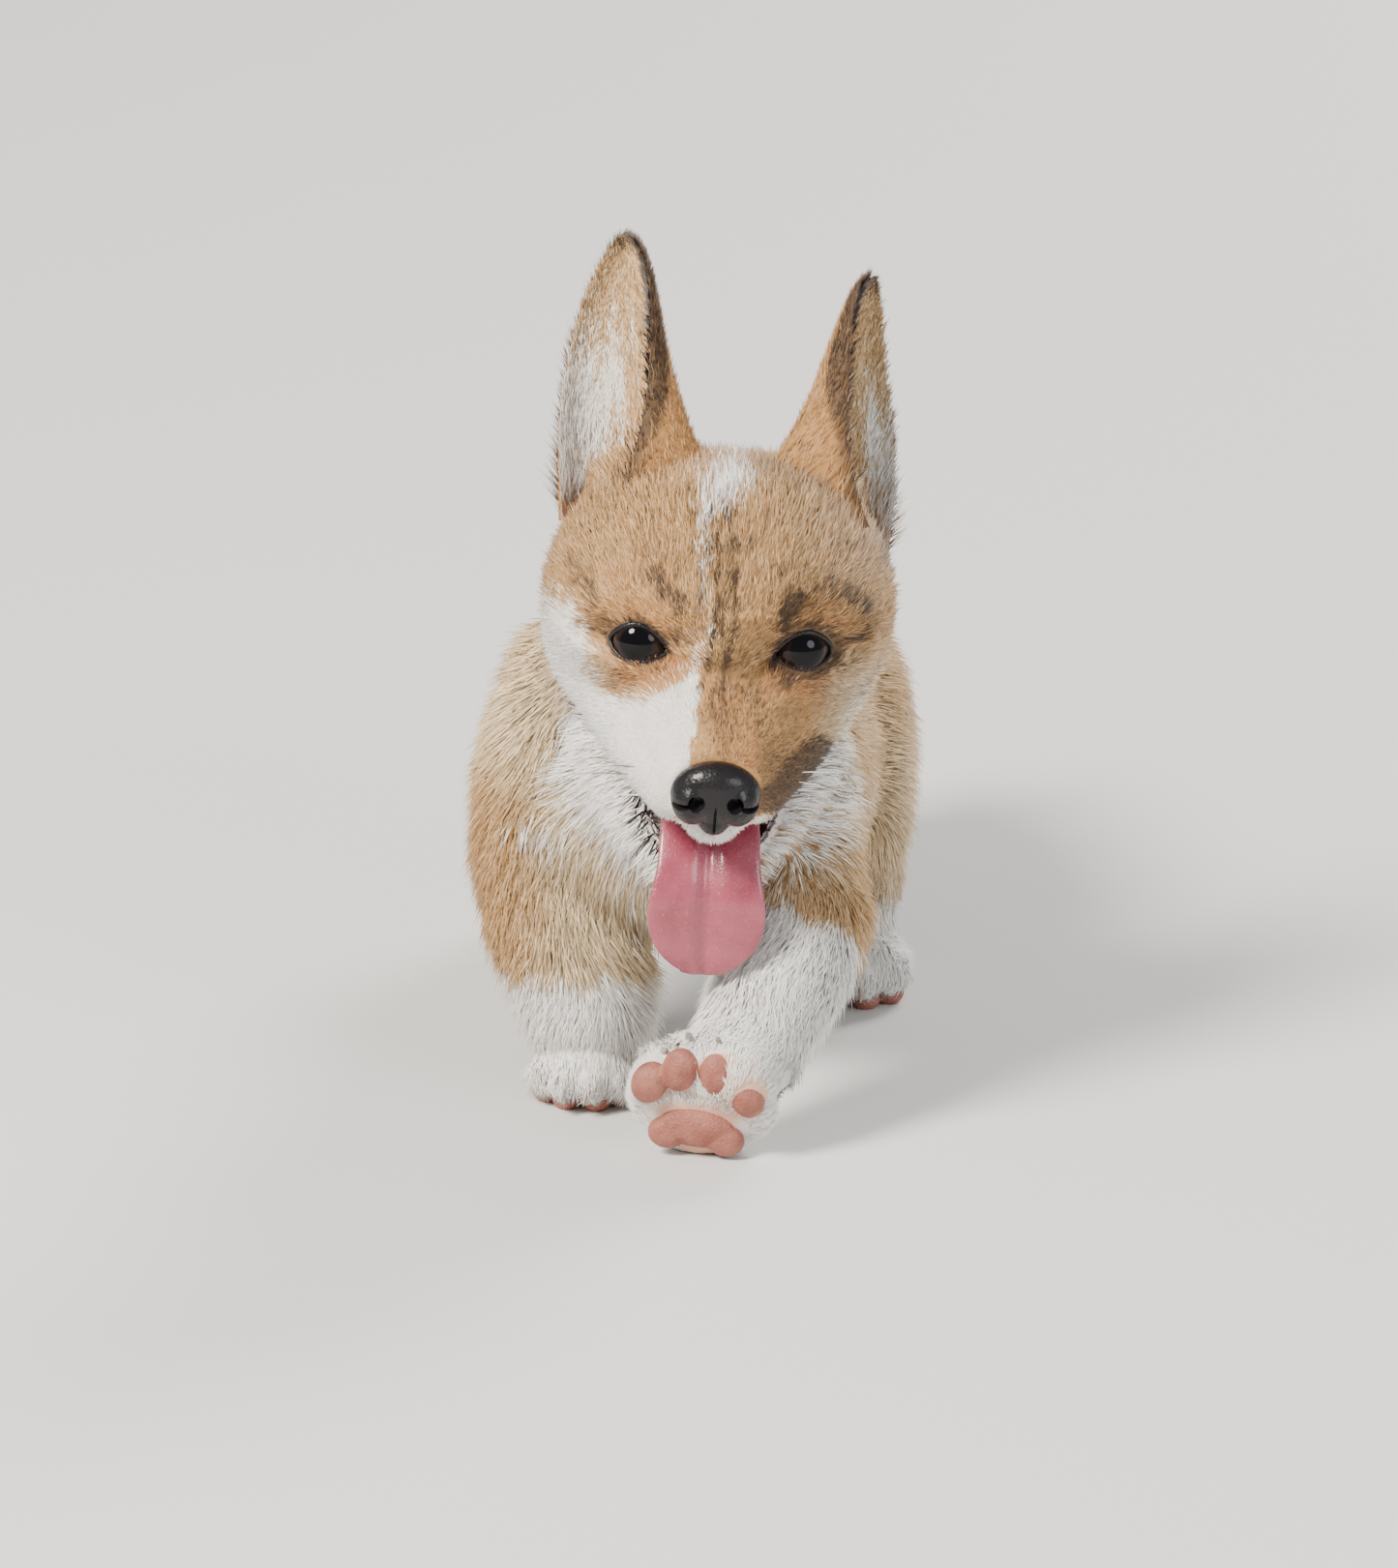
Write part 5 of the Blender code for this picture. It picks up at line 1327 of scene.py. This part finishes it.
def fur_colour(finish, colours, tipped):
    """The coat's colour from its marks: tan and rufous, cream, white, then sable on the tips."""
    marks = finish.mark("marks", 0)
    white, sable, cream = finish.parts(marks)
    rufous = finish.mark("marks", 3)
    along, shade, grey = finish.parts(finish.mark("hair", 1))
    base = finish.mix(rufous, colours.tan, colours.rufous)
    spread = 0.75 if tipped else 0.2
    base = finish.mix(finish.range(cream + (grey - 0.5) * (spread * 0.6), 0.1, 0.9), base, colours.cream)
    # The sable share, which on the head also holds painted shade, darkens the tips.
    dark = finish.range(sable + (shade - 0.5) * spread + (along * 0.22 if tipped else 0.1), 0.52, 0.95)
    base = finish.mix(dark * 0.92, base, colours.sable)
    base = finish.mix(finish.range(white + (grey - 0.5) * spread, 0.36, 0.64), base, colours.white)
    return base, along, shade, grey, white


def coat_finish(colours):
    finish = Finish("fur", Roughness=0.62, Sheen_Weight=0.12, Sheen_Roughness=0.45)
    finish.shader.inputs["Specular IOR Level"].default_value = 0.28
    base, along, shade, grey, white = fur_colour(finish, colours, True)
    # Brightness of each tuft: a random tone per tuft, times painted shade that darkens the roots where the tufts shade
    # each other; white hair gets less of both.
    light = finish.range(grey, 0.0, 1.0, 0.66, 1.28) * finish.range(along, 0.0, 0.8, 0.46, 1.10)
    light = light + (1.04 - light) * white * 0.6
    base = finish.add("ShaderNodeVectorMath", {"operation": "SCALE"}, {0: base, 3: light})
    return finish.set(Base_Color=base)


def skin_finish(colours):
    finish = Finish("skin_under_fur", Roughness=0.75)
    base, along, shade, grey, white = fur_colour(finish, colours, False)
    base = finish.mix(0.28, base, tuple(0.45 * part for part in colours.tan))
    lining = finish.mix(finish.noise(220.0), (0.012, 0.006, 0.008), (0.070, 0.022, 0.026))
    bare = finish.mix(0.4, colours.flesh, colours.cream)
    base = finish.mix(finish.range(grey, 0.3, 0.6), base, bare)
    base = finish.mix(finish.range(along, 0.3, 0.8), base, lining)
    grain = finish.noise(900.0, 4.0)
    return finish.set(Base_Color=base, Normal=finish.bump(grain, 0.5, 0.0006),
                      Roughness=finish.range(along, 0.5, 1.0, 0.8, 0.3))


def wet_black_finish(colours, name, pebbles):
    finish = Finish(name, Roughness=0.34, Coat_Weight=0.22, Coat_Roughness=0.08)
    finish.shader.inputs["Specular IOR Level"].default_value = 0.22
    where = finish.add("ShaderNodeTexCoord", output=3)
    cells = finish.add("ShaderNodeTexVoronoi", None, {"Vector": where, "Scale": pebbles})
    cloud = finish.noise(160.0)
    base = finish.mix(cloud * 0.35, colours.black, (0.020, 0.017, 0.018))
    return finish.set(Base_Color=base, Normal=finish.bump(cells, 0.45, 0.0003),
                      Roughness=finish.range(cloud, 0.3, 0.7, 0.26, 0.46))


def tongue_finish(colours):
    finish = Finish("tongue_wet", Roughness=0.3, Coat_Weight=0.55, Coat_Roughness=0.14)
    finish.shader.inputs["Subsurface Weight"].default_value = 0.12
    finish.shader.inputs["Subsurface Radius"].default_value = (0.004, 0.0015, 0.001)
    cloud, fine = finish.noise(110.0, 4.0), finish.noise(1500.0, 2.0)
    deep = (colours.tongue[0] * 0.72, colours.tongue[1] * 0.52, colours.tongue[2] * 0.55)
    pale = (0.62, 0.27, 0.31)
    base = finish.mix(finish.range(cloud, 0.3, 0.7), deep, colours.tongue)
    base = finish.mix(finish.range(fine, 0.58, 0.78, 0.0, 0.28), base, pale)
    return finish.set(Base_Color=base, Normal=finish.bump(fine, 0.5, 0.0004),
                      Roughness=finish.range(cloud, 0.3, 0.7, 0.22, 0.42))


def eye_finish(colours):
    finish = Finish("eye_wet", Roughness=0.05, Coat_Weight=0.6, Coat_Roughness=0.02, Coat_IOR=1.3)
    finish.shader.inputs["Specular IOR Level"].default_value = 0.08
    gaze = finish.parts(finish.mark("gaze", 1))[0]
    streaks = finish.noise(700.0)
    iris = finish.mix(streaks, colours.iris, (colours.iris[0] * 2.0, colours.iris[1] * 1.9, colours.iris[2] * 1.7))
    base = finish.mix(finish.range(gaze, 0.15, 0.175), (0.0015, 0.0015, 0.002), iris)
    base = finish.mix(finish.range(gaze, 0.25, 0.29), base, (0.004, 0.003, 0.003))
    base = finish.mix(finish.range(gaze, 0.36, 0.40), base, (0.24, 0.18, 0.15))
    return finish.set(Base_Color=base)


def pad_finish(colours):
    finish = Finish("pad_leather", Roughness=0.6)
    where = finish.add("ShaderNodeTexCoord", output=3)
    cells = finish.add("ShaderNodeTexVoronoi", None, {"Vector": where, "Scale": 1300.0})
    cloud = finish.noise(190.0)
    dirt = finish.noise(420.0, 5.0)
    base = finish.mix(finish.range(cloud, 0.35, 0.7), colours.pads, (0.38, 0.145, 0.10))
    base = finish.mix(finish.range(dirt, 0.58, 0.74, 0.0, 0.45), base, (0.22, 0.12, 0.08))
    return finish.set(Base_Color=base, Normal=finish.bump(cells, 0.6, 0.0004))


def claw_finish():
    finish = Finish("claw_horn", Roughness=0.35)
    cloud = finish.noise(300.0)
    return finish.set(Base_Color=finish.mix(cloud, (0.20, 0.15, 0.12), (0.52, 0.43, 0.35)))


def whisker_finish():
    finish = Finish("whisker_hair", Roughness=0.4)
    cloud = finish.noise(60.0)
    return finish.set(Base_Color=finish.mix(finish.range(cloud, 0.45, 0.55), (0.06, 0.05, 0.05), (0.85, 0.82, 0.78)))


def floor_finish(colour):
    finish = Finish("studio_floor", Roughness=0.85)
    cloud = finish.noise(1.5)
    return finish.set(Base_Color=finish.mix(cloud, colour, tuple(c * 0.97 for c in colour)))


FINISHES = {}


def finish_named(name, make):
    if name not in FINISHES:
        FINISHES[name] = make()
    return FINISHES[name]


# Operators


SOURCE = {}
FLESH_NODES = [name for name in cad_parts
               if not name.startswith(("ear_", "eye_")) and name not in ("nose", "tongue")]


class CORGI_OT_skin(bpy.types.Operator):
    """Makes the one skin that stands for all the flesh"""

    bl_idname = "corgi.skin"
    bl_label = "Skin"

    def execute(self, context):
        scene = context.scene
        skin = build_skin(scene.corgi_form)
        unwrap(skin)
        mesh = skin.data
        points, normals = vertex_array(mesh), normal_array(mesh)
        lining = mouth_share(points, normals)
        for side in (-1, 1):
            _, distance, almond = eye_almond(points, side, scene.corgi_form.eye_radius / MM)
            lining = np.maximum(lining, (distance < 11.5) * (almond < 1.10))
        pad = np.zeros(len(points))
        for _, place, _ in PAWS:
            p = place.local(points)
            edge = 2.4 if place.turn[2, 2] > 0.9 else 5.0
            pad = np.maximum(pad, (np.linalg.norm(p - (0, 0, 3), axis=1) < 24) * smooth_step(edge + 1, edge - 1, p[:, 2]))
        write_marks(mesh, "marks", markings(points))
        write_marks(mesh, "hair", np.stack([lining, 0.5 + 0 * pad, 0.7 * pad], -1))
        SOURCE["skin"] = SkinSource(skin, scene.corgi_form.eye_radius / MM)
        finish = finish_named("skin", lambda: skin_finish(scene.corgi_colours))
        place_piece(skin, finish, "tan_coat", *FLESH_NODES)
        return {"FINISHED"}


class CORGI_OT_ears(bpy.types.Operator):
    """Makes both cupped ears with their hair"""

    bl_idname = "corgi.ears"
    bl_label = "Ears"

    def execute(self, context):
        scene = context.scene
        length = scene.corgi_form.ear_length / MM
        fur = finish_named("coat", lambda: coat_finish(scene.corgi_colours))
        skin = finish_named("skin", lambda: skin_finish(scene.corgi_colours))
        scale = 1.0
        pair = (Ear("right", -1, (-27.6, 45, 22), length + 1.6, 17.6, (-0.6, 35.0, 46.0), 54.0, 3.6, 0.14),
                Ear("left", 1, (32.0, 45, 20), length - 1.8, 18.4, (5.2, 58.0, 62.0), 46.0, 4.2, 0.24))
        for ear in pair:
            place_piece(ear_piece(ear), skin, "tan_coat", "ear_" + ear.word)
            ear_coat(ear, scene.corgi_coat, scale, fur)
        return {"FINISHED"}


class CORGI_OT_eyes(bpy.types.Operator):
    """Makes the eyeballs and the dark rims of the lids"""

    bl_idname = "corgi.eyes"
    bl_label = "Eyes"

    def execute(self, context):
        scene = context.scene
        radius = scene.corgi_form.eye_radius / MM
        wet = finish_named("eye", lambda: eye_finish(scene.corgi_colours))
        dark = finish_named("rim", lambda: wet_black_finish(scene.corgi_colours, "dark_skin", 1800.0))
        for side, word in ((-1, "right"), (1, "left")):
            place_piece(eyeball(side, radius), wet, "eye_cornea", "eye_" + word)
            place_piece(new_piece(f"eye_{word}_rim", *lid_rim(side, radius)), dark, "nose_leather")
        return {"FINISHED"}


class CORGI_OT_nose(bpy.types.Operator):
    """Makes the pebbled black nose"""

    bl_idname = "corgi.nose"
    bl_label = "Nose"

    def execute(self, context):
        colours = context.scene.corgi_colours
        finish = finish_named("nose", lambda: wet_black_finish(colours, "nose_pebbled", 1050.0))
        place_piece(nose_piece(), finish, "nose_leather", "nose")
        return {"FINISHED"}


class CORGI_OT_mouth(bpy.types.Operator):
    """Makes the tongue"""

    bl_idname = "corgi.mouth"
    bl_label = "Mouth"

    def execute(self, context):
        colours = context.scene.corgi_colours
        tongue = new_piece("tongue_skin", *tube(TONGUE_ROWS, HEAD, 64, 6, 0.45, groove=0.8, cup=0.8))
        place_piece(tongue, finish_named("tongue", lambda: tongue_finish(colours)), "tongue_skin", "tongue")
        return {"FINISHED"}


class CORGI_OT_feet(bpy.types.Operator):
    """Makes the pads and claws of the four feet"""

    bl_idname = "corgi.feet"
    bl_label = "Feet"

    def execute(self, context):
        colours = context.scene.corgi_colours
        leather = finish_named("pads", lambda: pad_finish(colours))
        horn = finish_named("claws", claw_finish)
        for word, place, spread in PAWS:
            pads = fused("pads_" + word, pad_shells(place, spread), 0.6, 3)
            points = vertex_array(pads.data)
            points[:, 2] = np.maximum(points[:, 2], 0.0)
            pads.data.vertices.foreach_set("co", ((points + FRAME_SHIFT) * MM).astype(np.float32).ravel())
            pads.data.update()
            place_piece(pads, leather, "tongue_skin")
            claws = []
            for x, y, _, forward in toe_places(spread):
                root = np.array([x, y, 9.5]) + forward * 7.0
                tip = root + forward * 5.6 + (0, 0, -3.6)
                middle = (root + tip) / 2 + (0, 0, 0.9)
                rows = [(*root, 1.3, 1.7), (*middle, 1.05, 1.3), (*tip, 0.35, 0.4)]
                claws.append(tube(rows, place, 14, 5, 0.8))
            place_piece(new_piece("claws_" + word, *joined_shells(claws)), horn, "nose_leather")
        return {"FINISHED"}


class CORGI_OT_whiskers(bpy.types.Operator):
    """Makes the whiskers of lip and brow"""

    bl_idname = "corgi.whiskers"
    bl_label = "Whiskers"

    def execute(self, context):
        chance = np.random.default_rng(31)
        shells = []
        for side in (-1, 1):
            rows, columns = np.divmod(np.arange(16), 4)
            y = -30 + 5.5 * columns + chance.normal(0, 0.8, 16)
            z = -23 - 3.2 * rows + chance.normal(0, 0.6, 16)
            x = side * (17.0 + 0.28 * (y + 30))
            starts = HEAD.at(np.stack([x, y, z], -1))
            ways = HEAD.way(np.stack([side * (1.0 + 0 * y), 0.55 + 0.03 * (y + 30), -0.25 - 0.05 * rows], -1))
            shells += hair_shells(starts, ways, chance.uniform(18, 32, 16), 0.26, 0.12, chance)
            starts = HEAD.at([(side * (16 + 2 * i), -3, 11 + i) for i in range(3)])
            ways = HEAD.way([(side * 0.5, -0.5, 0.9)] * 3)
            shells += hair_shells(starts, ways, chance.uniform(8, 13, 3), 0.11, 0.05, chance)
        finish = finish_named("whiskers", whisker_finish)
        place_piece(new_piece("whiskers", *joined_shells(shells)), finish, "white_coat")
        return {"FINISHED"}


class CORGI_OT_coat(bpy.types.Operator):
    """Sows the coat over head, body, tail and legs"""

    bl_idname = "corgi.coat"
    bl_label = "Coat"

    def execute(self, context):
        scene = context.scene
        fur = finish_named("coat", lambda: coat_finish(scene.corgi_colours))
        scale = 1.0
        body_coat(SOURCE["skin"], scene.corgi_coat, scale, fur)
        head_coat(SOURCE["skin"], scene.corgi_coat, scale, fur)
        return {"FINISHED"}


def area_light(name, place, target, size, power, colour):
    light = bpy.data.lights.new(name, "AREA")
    light.shape = "DISK"
    light.size = size
    light.energy = power
    light.color = colour
    lamp = bpy.data.objects.new(name, light)
    back = unit(np.array(place, float) - np.array(target, float))
    right = unit(np.cross((0, 0, 1), back))
    aim(lamp, place, right, np.cross(back, right), back)
    bpy.context.scene.collection.objects.link(lamp)
    return lamp


def aim(thing, place, right, up, back):
    """Puts a camera or lamp at a place, looking away from back."""
    matrix = np.eye(4)
    matrix[:3, :3] = np.stack([right, up, back], -1)
    matrix[:3, 3] = place
    thing.matrix_world = Matrix(matrix)


class CORGI_OT_stage(bpy.types.Operator):
    """Sets the floor, the soft lights and the camera"""

    bl_idname = "corgi.stage"
    bl_label = "Stage"

    def execute(self, context):
        scene = context.scene
        studio = scene.corgi_studio
        u = np.linspace(-6, 6, 9)
        x, y = np.meshgrid(u, u, indexing="ij")
        points = np.stack([x, y, 0 * x], -1).reshape(-1, 3) / MM - FRAME_SHIFT
        floor = new_piece("floor", points, grid_triangles(9, 9, False), outward=False)
        floor.data.materials.append(floor_finish(studio.floor))

        world = bpy.data.worlds.new("studio")
        world.use_nodes = True
        background = world.node_tree.nodes["Background"]
        background.inputs["Color"].default_value = (0.93, 0.955, 1.0, 1.0)
        background.inputs["Strength"].default_value = 0.48
        scene.world = world
        middle = (0.0, -0.05, 0.10)
        area_light("key", (-1.5, -1.9, 2.3), middle, 1.1, studio.key, (1.0, 0.95, 0.88))
        area_light("fill", (2.2, -1.8, 1.2), middle, 1.4, studio.key * 0.15, (0.90, 0.95, 1.0))
        area_light("rim", (1.2, 2.4, 1.9), middle, 1.2, studio.key * 0.45, (1.0, 0.97, 0.92))

        turn, rise = studio.turn, studio.rise
        back = np.array([math.sin(turn) * math.cos(rise), -math.cos(turn) * math.cos(rise), math.sin(rise)])
        right = np.array([math.cos(turn), math.sin(turn), 0.0])
        target = (np.array([1.2, 25.5, 87.5]) + FRAME_SHIFT) * MM
        camera = bpy.data.objects.new("camera", bpy.data.cameras.new("camera"))
        camera.data.lens = studio.lens
        camera.data.sensor_width = 36.0
        camera.data.clip_end = 50.0
        aim(camera, target + back * studio.distance, right, np.cross(back, right), back)
        scene.collection.objects.link(camera)
        scene.camera = camera
        return {"FINISHED"}


class CORGI_PT_panel(bpy.types.Panel):
    """Lists the pieces of the puppy and their settings"""

    bl_label = "Corgi puppy"
    bl_idname = "CORGI_PT_panel"
    bl_space_type = "VIEW_3D"
    bl_region_type = "UI"
    bl_category = "Corgi"

    def draw(self, context):
        for operator in OPERATORS:
            self.layout.operator(operator.bl_idname)
        for group in SETTINGS:
            box = self.layout.box()
            for name in SETTINGS[group].__annotations__:
                box.prop(getattr(context.scene, group), name)


SETTINGS = {"corgi_form": FormSettings, "corgi_coat": CoatSettings, "corgi_colours": ColourSettings,
            "corgi_studio": StudioSettings}
OPERATORS = (CORGI_OT_skin, CORGI_OT_ears, CORGI_OT_eyes, CORGI_OT_nose, CORGI_OT_mouth, CORGI_OT_feet,
             CORGI_OT_whiskers, CORGI_OT_coat, CORGI_OT_stage)


def register():
    for kind in (*SETTINGS.values(), *OPERATORS, CORGI_PT_panel):
        bpy.utils.register_class(kind)
    for name, kind in SETTINGS.items():
        setattr(bpy.types.Scene, name, bpy.props.PointerProperty(type=kind))


def unregister():
    for name in SETTINGS:
        delattr(bpy.types.Scene, name)
    for kind in reversed((*SETTINGS.values(), *OPERATORS, CORGI_PT_panel)):
        bpy.utils.unregister_class(kind)


def main():
    register()
    bpy.ops.corgi.skin()
    bpy.ops.corgi.ears()
    bpy.ops.corgi.eyes()
    bpy.ops.corgi.nose()
    bpy.ops.corgi.mouth()
    bpy.ops.corgi.feet()
    bpy.ops.corgi.whiskers()
    bpy.ops.corgi.coat()
    bpy.ops.corgi.stage()


if __name__ == "__main__":
    main()
